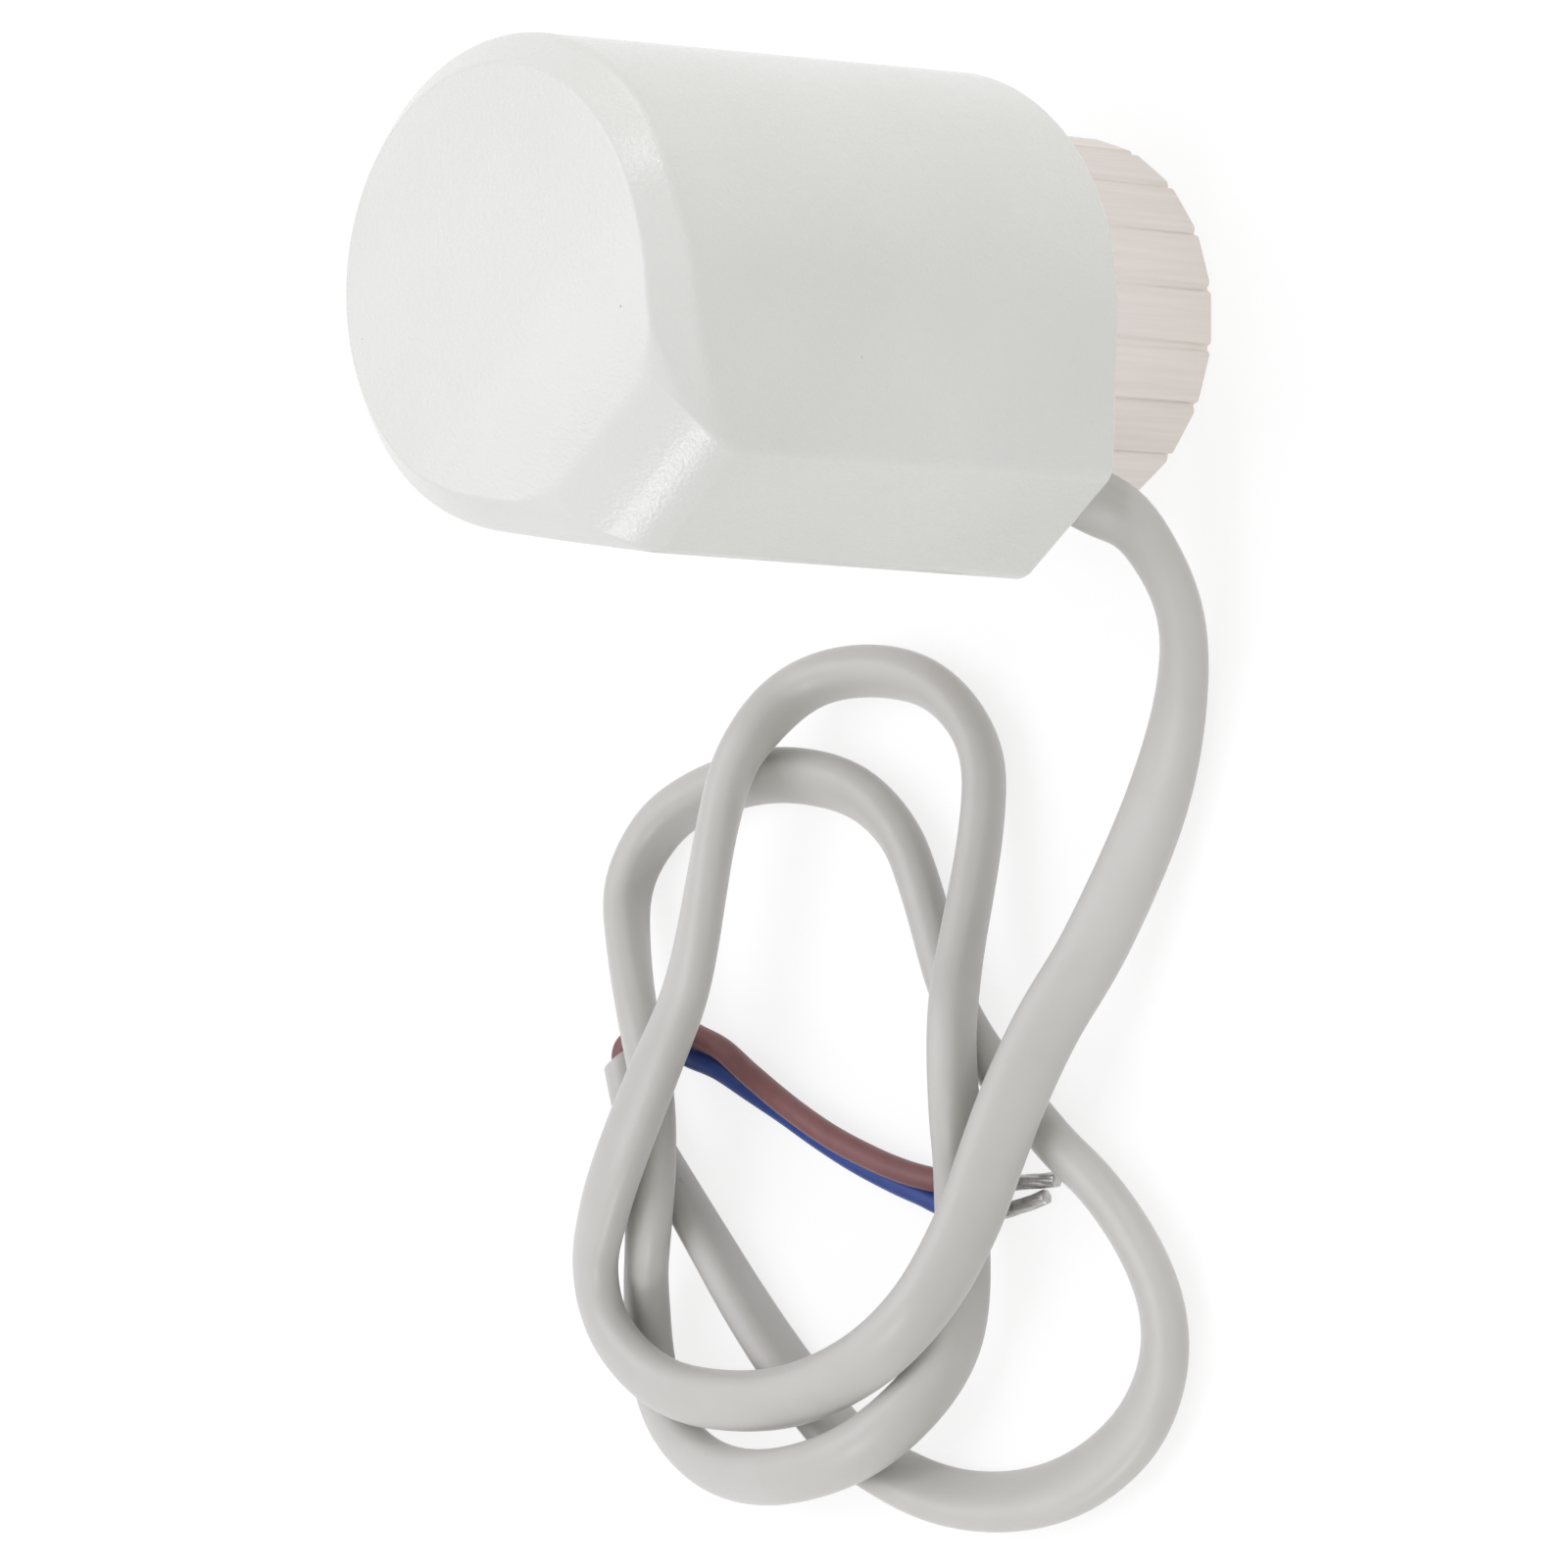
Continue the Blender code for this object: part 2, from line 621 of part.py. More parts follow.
def barb_size(margin):
    return (2 * (BARB_REACH + margin), BARB_WIDTH + 2 * margin, BARB_HEIGHT + 2 * margin)


def barb_centre():
    return (TONGUE_OUTER, 0, BASE_TOP + TONGUE_HEIGHT - BARB_HEIGHT)


def base(frame, material):
    """Base plate with the neck for the nut, snap tongues, sockets for the bridge and the cable's port."""
    plate = slab("base_plate", head_outline(RIM_INSET), BASE_LOW, BASE_TOP)
    joined = [turned("neck_stock", disc_profile(NECK_RADIUS, NECK_LOW, BASE_LOW + MM), closed=False)]
    tongue_low = BASE_TOP - MM
    tongue_size = (TONGUE_THICKNESS, TONGUE_WIDTH, BASE_TOP + TONGUE_HEIGHT - tongue_low)
    tongue_middle = ((TONGUE_OUTER + TONGUE_INNER) / 2, 0, tongue_low + tongue_size[2] / 2)
    for number, angle in enumerate(TONGUE_ANGLES):
        turn = math.radians(angle)
        joined.append(block(f"tongue_{number}", tongue_size, tongue_middle, turn))
        joined.append(block(f"barb_{number}", barb_size(0), barb_centre(), turn))
    groove_inner = NECK_RADIUS - RING_GROOVE_DEPTH
    groove = tube_profile(NECK_RADIUS + MM, groove_inner, RING_LOW - SEAT_GAP, RING_TOP + SEAT_GAP)
    port_width = CABLE_SLOT_WIDTH + 2 * GROMMET_WALL + 2 * GROMMET_FIT
    port_thickness = CABLE_SLOT_THICKNESS + 2 * GROMMET_WALL + 2 * GROMMET_FIT
    port = [(x, y - CABLE_REACH) for x, y in stadium(port_width, port_thickness)]
    cut = [
        turned("neck_bore", disc_profile(NECK_BORE, NECK_LOW + NECK_LIP, BASE_TOP + MM), closed=False),
        turned("lip_bore", disc_profile(PLUNGER_RADIUS + SLIDE_GAP, NECK_LOW - MM, BASE_TOP), closed=False),
        turned("ring_groove", groove),
        slab("cable_port", port, BASE_LOW - MM, BASE_TOP + MM),
    ]
    for side in (-1, 1):
        cut.append(leg_block(f"leg_socket_{side}", side, BASE_TOP - BRIDGE_SOCKET, BASE_TOP + MM, SEAT_GAP))
    for piece in joined:
        combine(plate, as_cutter(piece, frame), "UNION")
    for piece in cut:
        combine(plate, as_cutter(piece, frame), "DIFFERENCE")
    return keep(plate, material, frame)


def gasket(frame, material):
    low = BASE_TOP + SEAT_GAP
    high = low + GASKET_THICKNESS
    ring = slab("cover_gasket", head_outline(RIM_INSET), low, high)
    inside = slab("gasket_inside", head_outline(GASKET_INSET), low - MM, high + MM)
    combine(ring, as_cutter(inside, frame), "DIFFERENCE")
    return keep(ring, material, frame)


# Union nut and its ring

def nut_grooves():
    mesh = bpy.data.meshes.new("nut_grooves")
    shape = bmesh.new()
    bmesh.ops.create_cube(shape, size=1)
    size = (2 * NUT_GROOVE_DEPTH, NUT_GROOVE_WIDTH, 2 * NUT_HEIGHT)
    bmesh.ops.scale(shape, vec=size, verts=shape.verts)
    bmesh.ops.translate(shape, vec=(NUT_RADIUS, 0, NUT_HEIGHT / 2), verts=shape.verts)
    bmesh.ops.rotate(shape, matrix=Matrix.Rotation(NUT_GROOVE_TURN, 3, "Z"), verts=shape.verts)
    copies = NUT_LANDS - 1
    bmesh.ops.spin(
        shape,
        geom=shape.verts[:] + shape.edges[:] + shape.faces[:],
        cent=(0, 0, 0),
        axis=(0, 0, 1),
        angle=2 * math.pi * copies / NUT_LANDS,
        steps=copies,
        use_duplicate=True,
    )
    shape.to_mesh(mesh)
    shape.free()
    return bpy.data.objects.new("nut_grooves", mesh)


def union_nut(frame, material):
    """Turned nut with a ringed M30 thread, a shoulder that hangs on the ring, and grip grooves."""
    shoulder_low = NUT_HEIGHT - NUT_SHOULDER
    shoulder_bore = NECK_RADIUS + SLIDE_GAP
    outer = [
        (NUT_RADIUS - NUT_CHAMFER, NUT_HEIGHT),
        (NUT_RADIUS, NUT_HEIGHT - NUT_CHAMFER),
        (NUT_RADIUS, NUT_CHAMFER),
        (NUT_RADIUS - NUT_CHAMFER, 0),
        (THREAD_MAJOR_RADIUS, 0),
    ]
    thread = []
    for turn in range(THREAD_TURNS + 1):
        crest = THREAD_DEPTH + turn * THREAD_PITCH
        thread.append((THREAD_MINOR_RADIUS, crest))
        thread.append((THREAD_MAJOR_RADIUS, crest + THREAD_PITCH / 2))
    inner = [
        (THREAD_MAJOR_RADIUS, shoulder_low),
        (shoulder_bore, shoulder_low),
        (shoulder_bore, NUT_HEIGHT),
    ]
    nut = turned("union_nut", outer + thread + inner)
    combine(nut, as_cutter(nut_grooves(), frame), "DIFFERENCE")
    return keep(nut, material, frame)


def retaining_ring(frame, material):
    """Open spring ring in the neck's groove. The nut's shoulder hangs on it."""
    inner = NECK_RADIUS - RING_GROOVE_DEPTH + SEAT_GAP
    ring = turned("nut_retaining_ring", tube_profile(RING_RADIUS, inner, RING_LOW, RING_TOP))
    gap_width = 2 * RING_RADIUS * math.sin(RING_GAP_ANGLE / 2)
    size = (gap_width, 2 * RING_RADIUS, 2 * RING_THICKNESS)
    gap = block("ring_opening", size, (0, RING_RADIUS, (RING_LOW + RING_TOP) / 2))
    combine(ring, as_cutter(gap, frame), "DIFFERENCE")
    return keep(ring, material, frame)


# Plunger and its guide

def plunger_bush(frame, material):
    outer = NECK_BORE - SEAT_GAP
    inner = PLUNGER_RADIUS + SLIDE_GAP
    low = NECK_LOW + NECK_LIP + SEAL_THICKNESS + 2 * SEAT_GAP
    flange_low = BASE_TOP + SEAT_GAP
    profile = [
        (BUSH_FLANGE_RADIUS, BUSH_TOP),
        (BUSH_FLANGE_RADIUS, flange_low),
        (outer, flange_low),
        (outer, low),
        (inner, low),
        (inner, BUSH_TOP),
    ]
    return keep(turned("plunger_bush", profile), material, frame)


def plunger_seal(frame, material):
    """O-ring between the neck's lip and the bush."""
    inner = PLUNGER_RADIUS + SLIDE_GAP
    outer = NECK_BORE - SEAT_GAP
    middle = ((inner + outer) / 2, NECK_LOW + NECK_LIP + SEAT_GAP + SEAL_THICKNESS / 2)
    half = ((outer - inner) / 2, SEAL_THICKNESS / 2)
    angles = [math.pi / 2 - 2 * math.pi * k / 8 for k in range(8)]
    profile = [(middle[0] + half[0] * math.cos(a), middle[1] + half[1] * math.sin(a)) for a in angles]
    return keep(turned("plunger_seal", profile, SMALL_STEPS), material, frame)


def plunger_stem(frame, material):
    profile = [
        (0, STUD_TOP),
        (STUD_RADIUS, STUD_TOP),
        (STUD_RADIUS, BUSH_TOP),
        (PLUNGER_RADIUS, BUSH_TOP),
        (PLUNGER_RADIUS, PLUNGER_LOW + PLUNGER_CHAMFER),
        (PLUNGER_RADIUS - PLUNGER_CHAMFER, PLUNGER_LOW),
        (0, PLUNGER_LOW),
    ]
    return keep(turned("plunger_stem", profile, closed=False), material, frame)


def stem_clip(frame, material):
    profile = tube_profile(CLIP_RADIUS, STUD_RADIUS + SEAT_GAP, CLIP_LOW, CLIP_LOW + CLIP_THICKNESS)
    return keep(turned("stem_clip", profile, SMALL_STEPS), material, frame)


# Lifting cage and bridge

def leg_block(name, side, low, high, margin):
    """The space of one bridge leg, grown by margin on each side."""
    size = (BRIDGE_LEG + 2 * margin, BRIDGE_WIDTH + 2 * margin, high - low)
    return block(name, size, (side * (LEG_INNER + LEG_OUTER) / 2, 0, (low + high) / 2))


def lifting_cage(frame, material):
    """Cage with a spring flange, open at two sides so that the fixed bridge passes through it."""
    ring_bore = CAPSULE_RADIUS + SEAT_GAP
    stud_bore = STUD_RADIUS + SEAT_GAP
    profile = [
        (CAGE_RADIUS, CAGE_TOP),
        (CAGE_RADIUS, CAGE_FLOOR_TOP),
        (CAGE_FLANGE_RADIUS, CAGE_FLOOR_TOP),
        (CAGE_FLANGE_RADIUS, CAGE_LOW),
        (stud_bore, CAGE_LOW),
        (stud_bore, CAGE_FLOOR_TOP),
        (CAGE_INNER, CAGE_FLOOR_TOP),
        (CAGE_INNER, CAGE_RING_LOW),
        (ring_bore, CAGE_RING_LOW),
        (ring_bore, CAGE_TOP),
    ]
    cage = turned("lifting_cage", profile)
    low = CAGE_FLOOR_TOP + SEAT_GAP
    high = CAGE_RING_LOW - SEAT_GAP
    size = (2 * CAGE_RADIUS + 2 * MM, 2 * CAPSULE_FLANGE_RADIUS, high - low)
    cutters = [block("cage_window", size, (0, 0, (low + high) / 2))]
    for side in (-1, 1):
        name = f"leg_slot_{side}"
        cutters.append(leg_block(name, side, CAGE_LOW - MM, CAGE_FLOOR_TOP + MM, SLIDE_GAP))
    for cutter in cutters:
        combine(cage, as_cutter(cutter, frame), "DIFFERENCE")
    return keep(cage, material, frame)


def support_bridge(frame, material):
    """Steel stirrup standing in the base. The wax piston pushes down on its beam."""
    foot = BASE_TOP - BRIDGE_SOCKET + SEAT_GAP
    right = [
        (LEG_INNER, BRIDGE_LOW),
        (LEG_INNER, foot),
        (LEG_OUTER, foot),
        (LEG_OUTER, BRIDGE_TOP),
    ]
    outline = right + [(-x, z) for x, z in reversed(right)]
    bridge = slab("support_bridge", outline, -BRIDGE_WIDTH / 2, BRIDGE_WIDTH / 2)
    bridge.rotation_euler.x = math.pi / 2
    return keep(bridge, material, frame)


# Wax element

def wax_piston(frame, material):
    profile = disc_profile(PISTON_RADIUS, PISTON_LOW, PISTON_TOP)
    return keep(turned("wax_piston", profile, SMALL_STEPS, closed=False), material, frame)


def piston_guide(frame, material):
    flange = CAPSULE_BORE - SEAT_GAP
    bore = PISTON_RADIUS + SLIDE_GAP
    profile = [
        (flange, GUIDE_TOP),
        (flange, GUIDE_FLANGE_LOW),
        (GUIDE_SLEEVE_RADIUS, GUIDE_FLANGE_LOW),
        (GUIDE_SLEEVE_RADIUS, GUIDE_LOW),
        (bore, GUIDE_LOW),
        (bore, GUIDE_TOP),
    ]
    return keep(turned("piston_guide", profile, SMALL_STEPS), material, frame)


def wax_capsule(frame, material):
    """Brass cup with a flange that lifts the cage. Its lip is rolled in under the piston guide."""
    lip = GUIDE_SLEEVE_RADIUS + SEAT_GAP
    profile = [
        (0, CAPSULE_TOP),
        (CAPSULE_RADIUS, CAPSULE_TOP),
        (CAPSULE_RADIUS, CAPSULE_LOW + CAPSULE_FLANGE),
        (CAPSULE_FLANGE_RADIUS, CAPSULE_LOW + CAPSULE_FLANGE),
        (CAPSULE_FLANGE_RADIUS, CAPSULE_LOW),
        (lip, CAPSULE_LOW),
        (lip, CAPSULE_LOW + CAPSULE_LIP),
        (CAPSULE_BORE, CAPSULE_LOW + CAPSULE_LIP),
        (CAPSULE_BORE, CAPSULE_TOP - CAPSULE_WALL),
        (0, CAPSULE_TOP - CAPSULE_WALL),
    ]
    return keep(turned("wax_capsule", profile, closed=False), material, frame)


def capsule_filling(name, low, high, frame, material):
    profile = disc_profile(CAPSULE_BORE - SEAT_GAP, low, high)
    return keep(turned(name, profile, SMALL_STEPS, closed=False), material, frame)


# Heater

def contact(name, low, offset, frame, material):
    """Round contact plate with a solder tab towards the nose."""
    high = low + CONTACT_THICKNESS
    plate = turned(name, disc_profile(CONTACT_RADIUS, low, high), SMALL_STEPS, closed=False)
    tab_inner = CONTACT_RADIUS / 2
    size = (CONTACT_TAB_WIDTH, CONTACT_TAB_REACH - tab_inner, CONTACT_THICKNESS)
    centre = (offset, -(CONTACT_TAB_REACH + tab_inner) / 2, (low + high) / 2)
    combine(plate, as_cutter(block(name + "_tab", size, centre), frame), "UNION")
    return keep(plate, material, frame)


def heater(frame, material):
    profile = disc_profile(HEATER_RADIUS, HEATER_LOW, HEATER_LOW + HEATER_THICKNESS)
    return keep(turned("ptc_heater", profile, SMALL_STEPS, closed=False), material, frame)


def heater_cap(frame, material):
    """Insulating cap over the heater, with a notch for the two solder tabs."""
    profile = [
        (0, CAP_TOP),
        (CAP_OUTER, CAP_TOP),
        (CAP_OUTER, CAP_LOW),
        (CAP_INNER, CAP_LOW),
        (CAP_INNER, CAP_INNER_TOP),
        (0, CAP_INNER_TOP),
    ]
    cap = turned("heater_cap", profile, closed=False)
    notch_low = LOWER_CONTACT_LOW - SEAT_GAP
    notch_high = UPPER_CONTACT_TOP + SEAT_GAP / 2
    half_width = CONTACT_TAB_OFFSET + CONTACT_TAB_WIDTH / 2 + SEAT_GAP
    size = (2 * half_width, CAP_OUTER, notch_high - notch_low)
    notch = block("tab_notch", size, (0, -CAP_OUTER, (notch_low + notch_high) / 2))
    combine(cap, as_cutter(notch, frame), "DIFFERENCE")
    return keep(cap, material, frame)


# Closing spring

def closing_spring(frame, material):
    """Pressing the cage down. Its end coils lie close, and the coils between share the rest."""
    low = CAGE_FLOOR_TOP + SEAT_GAP + SPRING_WIRE_RADIUS
    high = SEAT_LOW - SEAT_GAP - SPRING_WIRE_RADIUS
    turns = [0, 1, SPRING_COILS - 1, SPRING_COILS]
    heights = [low, low + SPRING_DEAD_PITCH, high - SPRING_DEAD_PITCH, high]
    count = SPRING_COILS * SPRING_POINTS_PER_COIL + 1
    points = []
    for turn in np.linspace(0, SPRING_COILS, count):
        angle = 2 * math.pi * turn
        height = float(np.interp(turn, turns, heights))
        points.append((SPRING_RADIUS * math.cos(angle), SPRING_RADIUS * math.sin(angle), height))
    pitch = min(SPRING_DEAD_PITCH, (heights[2] - heights[1]) / (SPRING_COILS - 2))
    gap = pitch - 2 * SPRING_WIRE_RADIUS
    print(f"closing_spring: least gap to itself {gap / MM:.2f} mm")
    return keep(tube("closing_spring", points, SPRING_WIRE_RADIUS, 1), material, frame)


def spring_seat(frame, material):
    """Ring that the spring pushes against, on lugs under the roof that leave room for the leads."""
    ring = turned("spring_seat", tube_profile(SEAT_OUTER, SEAT_INNER, SEAT_LOW, SEAT_TOP))
    low = SEAT_TOP - SEAT_THICKNESS / 2
    for number, angle in enumerate(SEAT_LUG_ANGLES):
        turn = math.radians(angle)
        forward = SEAT_LUG_WIDTH / 2 * abs(math.cos(turn)) - SPRING_RADIUS * math.sin(turn)
        high = ROOF_LOW - SEAT_GAP - roof_fall(forward)
        size = (SEAT_WIDTH / 2, SEAT_LUG_WIDTH, high - low)
        centre = (SPRING_RADIUS - SEAT_LUG_INSET, 0, (low + high) / 2)
        lug = block(f"seat_lug_{number}", size, centre, turn)
        combine(ring, as_cutter(lug, frame), "UNION")
    return keep(ring, material, frame)


# Cable

def sleeve(name, margin, wall, low, high, frame, collar=0.0):
    """An oval sleeve round the cable where it stands upright in the nose."""
    width = CABLE_WIDTH + 2 * margin
    thickness = CABLE_THICKNESS + 2 * margin
    outer = stadium(width + 2 * (wall + collar), thickness + 2 * wall)
    bore = stadium(width, thickness)
    body = slab(name, [(x, y - CABLE_REACH) for x, y in outer], low, high)
    hole = slab(name + "_bore", [(x, y - CABLE_REACH) for x, y in bore], low - MM, high + MM)
    combine(body, as_cutter(hole, frame), "DIFFERENCE")
    return body


def cable_grommet(frame, material):
    """Soft sleeve in the base's port, with a wider collar inside the casing."""
    low = BASE_LOW + SEAT_GAP
    shoulder = BASE_TOP + SEAT_GAP
    body = sleeve("cable_grommet", GROMMET_FIT, GROMMET_WALL, low, shoulder + SEAT_GAP, frame)
    high = shoulder + GROMMET_COLLAR_HEIGHT
    collar = sleeve("grommet_collar", GROMMET_FIT, GROMMET_WALL, shoulder, high, frame, GROMMET_COLLAR)
    combine(body, as_cutter(collar, frame), "UNION")
    return keep(body, material, frame)


def cable_grip(frame, material):
    """Crimped ferrule on the jacket, which stops the cable from being pulled out."""
    low = BASE_TOP + GROMMET_COLLAR_HEIGHT + 2 * SEAT_GAP
    body = sleeve("cable_grip", GROMMET_FIT, GRIP_WALL, low, low + GRIP_HEIGHT, frame)
    return keep(body, material, frame)


def cable_rings(stations):
    """Sections of the cable along its route: for each station, the points of its flat oval."""
    entry = Vector((math.sin(NOSE_TURN), -math.cos(NOSE_TURN), 0)) * CABLE_REACH
    route = [(entry.x, entry.y, COVER_LOW, 0)]
    route += [(x * MM, y * MM, z * MM, math.radians(roll)) for x, y, z, roll in CABLE_ROUTE]
    samples = smooth_curve(route, stations - 1)
    samples = np.vstack([(entry.x, entry.y, CABLE_INNER_END, 0), samples])
    tangents = np.gradient(samples[:, :3], axis=0)
    rings = []
    for (x, y, z, roll), tangent in zip(samples, tangents):
        along = Vector(tangent).normalized()
        heading = along + entry.normalized() * CABLE_LEAN
        side = heading.cross(Vector((0, 0, 1))).normalized()
        lift = side.cross(along).normalized()
        side = along.cross(lift)
        wide = side * math.cos(roll) + lift * math.sin(roll)
        thin = wide.cross(along)
        middle = Vector((x, y, z))
        section = stadium(CABLE_WIDTH, CABLE_THICKNESS, CABLE_SIDES // 2)
        rings.append([middle + wide * u + thin * v for u, v in section])
    return rings


def least_cable_gap():
    """Smallest distance between points of the jacket on stretches that lie apart along the cable."""
    rings = np.array([[tuple(p) for p in ring] for ring in cable_rings(CABLE_MEASURE_STATIONS)])
    middles = rings.mean(axis=1)
    run = np.concatenate([[0], np.cumsum(np.linalg.norm(np.diff(middles, axis=0), axis=1))])
    least = math.inf
    for number in range(0, len(rings), 2):
        apart = run > run[number] + CABLE_LOOP
        near = apart & (np.linalg.norm(middles - middles[number], axis=1) < 2 * CABLE_WIDTH)
        if near.any():
            others = rings[near].reshape(-1, 1, 3)
            least = min(least, np.linalg.norm(others - rings[number], axis=2).min())
    return least, run[-1]


def cable(material):
    """The jacket as one loft of oval sections, turning on its way as the loose cable does."""
    gap, length = least_cable_gap()
    print(f"cable: length {length / MM:.0f} mm, least gap to itself {gap / MM:.2f} mm")
    return keep(loft("cable", cable_rings(CABLE_STATIONS)), material)


def loose_core(name, route, radius, stations, material):
    points = smooth_curve([(x * MM, y * MM, z * MM) for x, y, z in route], stations)
    return keep(tube(name, points, radius), material)


def inner_lead(name, side, tab_top, frame, material):
    """From the jacket's inner end up the nose, over the spring seat and down to a solder tab."""
    start = side * (CABLE_WIDTH - CABLE_THICKNESS) / 2
    end = side * CONTACT_TAB_OFFSET
    outside = SEAT_OUTER + LEAD_RADIUS + 2 * SEAT_GAP
    inside = CONTACT_TAB_REACH - LEAD_RADIUS
    over = SEAT_TOP + LEAD_RADIUS + 3 * SEAT_GAP
    bend = LEAD_RADIUS + SEAT_GAP
    points = [
        (start, -CABLE_REACH, CABLE_INNER_END + SEAT_GAP),
        (start, -CABLE_REACH, CABLE_INNER_END + 4 * LEAD_RADIUS),
        (end, -(CABLE_REACH + outside) / 2, (CABLE_INNER_END + SEAT_LOW) / 2),
        (end, -outside, SEAT_LOW - bend),
        (end, -outside + LEAD_RADIUS / 4, SEAT_TOP),
        (end, -SEAT_OUTER, over - SEAT_GAP),
        (end, -SPRING_RADIUS, over),
        (end, -SEAT_INNER, over - SEAT_GAP),
        (end, -inside - LEAD_RADIUS, SEAT_TOP + SEAT_GAP),
        (end, -inside, SEAT_LOW - bend),
        (end, -inside, tab_top + SEAT_GAP),
    ]
    return keep(tube(name, smooth_curve(points, LEAD_STATIONS), LEAD_RADIUS), material, frame)


def shade(obj):
    """Round pieces are shaded smooth across shallow edges."""
    if obj.type == "MESH":
        obj.data.shade_smooth()
        obj.data.set_sharp_from_angle(angle=math.radians(35))


def build():
    clear_scene()
    frame = head_frame()
    casing = make_material("white_plastic", (0.62, 0.63, 0.60), 0.55)
    inner_plastic = make_material("grey_plastic", (0.45, 0.45, 0.44), 0.5)
    rubber = make_material("black_rubber", (0.03, 0.03, 0.03), 0.8)
    nickel = make_material("plated_brass", (0.66, 0.60, 0.56), 0.35, 1.0)
    steel = make_material("steel", (0.55, 0.55, 0.56), 0.35, 1.0)
    brass = make_material("brass", (0.72, 0.52, 0.22), 0.35, 1.0)
    wax = make_material("wax", (0.80, 0.70, 0.45), 0.6)
    ceramic = make_material("heater_ceramic", (0.20, 0.19, 0.18), 0.7)
    tin = make_material("tinned_copper", (0.60, 0.58, 0.56), 0.4, 1.0)
    jacket = make_material("cable_jacket", (0.57, 0.56, 0.53), 0.45)
    brown = make_material("brown_insulation", (0.16, 0.07, 0.05), 0.45)
    blue = make_material("blue_insulation", (0.03, 0.07, 0.26), 0.45)

    pieces = [
        cover(frame, casing),
        base(frame, casing),
        gasket(frame, rubber),
        union_nut(frame, nickel),
        retaining_ring(frame, steel),
        plunger_bush(frame, inner_plastic),
        plunger_seal(frame, rubber),
        plunger_stem(frame, inner_plastic),
        stem_clip(frame, steel),
        lifting_cage(frame, inner_plastic),
        support_bridge(frame, steel),
        wax_piston(frame, steel),
        piston_guide(frame, brass),
        wax_capsule(frame, brass),
        capsule_filling("wax_diaphragm", DIAPHRAGM_LOW, DIAPHRAGM_LOW + DIAPHRAGM_THICKNESS, frame, rubber),
        capsule_filling("wax_charge", WAX_LOW, WAX_TOP, frame, wax),
        contact("lower_contact", LOWER_CONTACT_LOW, CONTACT_TAB_OFFSET, frame, tin),
        heater(frame, ceramic),
        contact("upper_contact", UPPER_CONTACT_LOW, -CONTACT_TAB_OFFSET, frame, tin),
        heater_cap(frame, inner_plastic),
        closing_spring(frame, steel),
        spring_seat(frame, inner_plastic),
        cable_grommet(frame, rubber),
        cable_grip(frame, brass),
        inner_lead("live_lead", -1, UPPER_CONTACT_TOP, frame, brown),
        inner_lead("neutral_lead", 1, LOWER_CONTACT_TOP, frame, blue),
        cable(jacket),
        loose_core("brown_core", BROWN_CORE_ROUTE, CORE_RADIUS, CORE_STATIONS, brown),
        loose_core("blue_core", BLUE_CORE_ROUTE, CORE_RADIUS, CORE_STATIONS, blue),
        loose_core("brown_wire_end", BROWN_WIRE_ROUTE, WIRE_RADIUS, WIRE_STATIONS, tin),
        loose_core("blue_wire_end", BLUE_WIRE_ROUTE, WIRE_RADIUS, WIRE_STATIONS, tin),
    ]
    for piece in pieces:
        shade(piece)


build()
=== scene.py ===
# %% [markdown]
# A valve head with a loose cable
#
# The object is a small heating actuator: a white plastic head that stands on its plated union nut, with a
# flat twin cable that leaves the head's nose and lies on the table in three loose loops.
# The imported model already holds every solid at its real size, so this script only dresses it: it starts by
# loading that model.

# %% Load the imported model
import math

import bmesh
import bpy
import numpy as np
from mathutils import Matrix, Vector


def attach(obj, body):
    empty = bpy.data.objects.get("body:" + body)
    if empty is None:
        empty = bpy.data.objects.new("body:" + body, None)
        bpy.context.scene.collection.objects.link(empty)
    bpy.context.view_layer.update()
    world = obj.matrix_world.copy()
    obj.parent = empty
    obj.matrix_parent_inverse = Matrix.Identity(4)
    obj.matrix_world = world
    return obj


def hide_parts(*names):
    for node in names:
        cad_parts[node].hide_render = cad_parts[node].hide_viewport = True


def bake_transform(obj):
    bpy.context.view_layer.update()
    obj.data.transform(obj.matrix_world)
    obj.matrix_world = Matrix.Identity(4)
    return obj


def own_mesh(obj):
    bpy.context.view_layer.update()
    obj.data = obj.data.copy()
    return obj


MM = 0.001
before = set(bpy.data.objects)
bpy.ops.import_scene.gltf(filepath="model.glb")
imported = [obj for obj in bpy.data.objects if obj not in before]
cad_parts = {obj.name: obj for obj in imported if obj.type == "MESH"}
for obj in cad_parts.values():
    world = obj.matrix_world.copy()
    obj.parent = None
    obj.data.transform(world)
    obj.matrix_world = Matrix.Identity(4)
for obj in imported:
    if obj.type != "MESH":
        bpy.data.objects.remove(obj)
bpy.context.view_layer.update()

# %% [markdown]
# The camera
#
# A camera can be placed by eye, but then every piece has to be nudged to match the photograph.
# Here its place, direction and lens were solved from the edges of the nut and the head, and written down.
# The photograph is turned a quarter turn, so the camera's own right-hand side points down in the world.

# %% Camera
CAMERA_PLACE = Vector((-8.81, -420.79, 446.32)) * MM
CAMERA_PAN = math.radians(-4.525)
CAMERA_TILT = math.radians(44.380)
CAMERA_ROLL = math.radians(0.733)
FOCAL_PIXELS = 6816.96
FRAME_PIXELS = 1600
SENSOR_WIDTH = 36.0


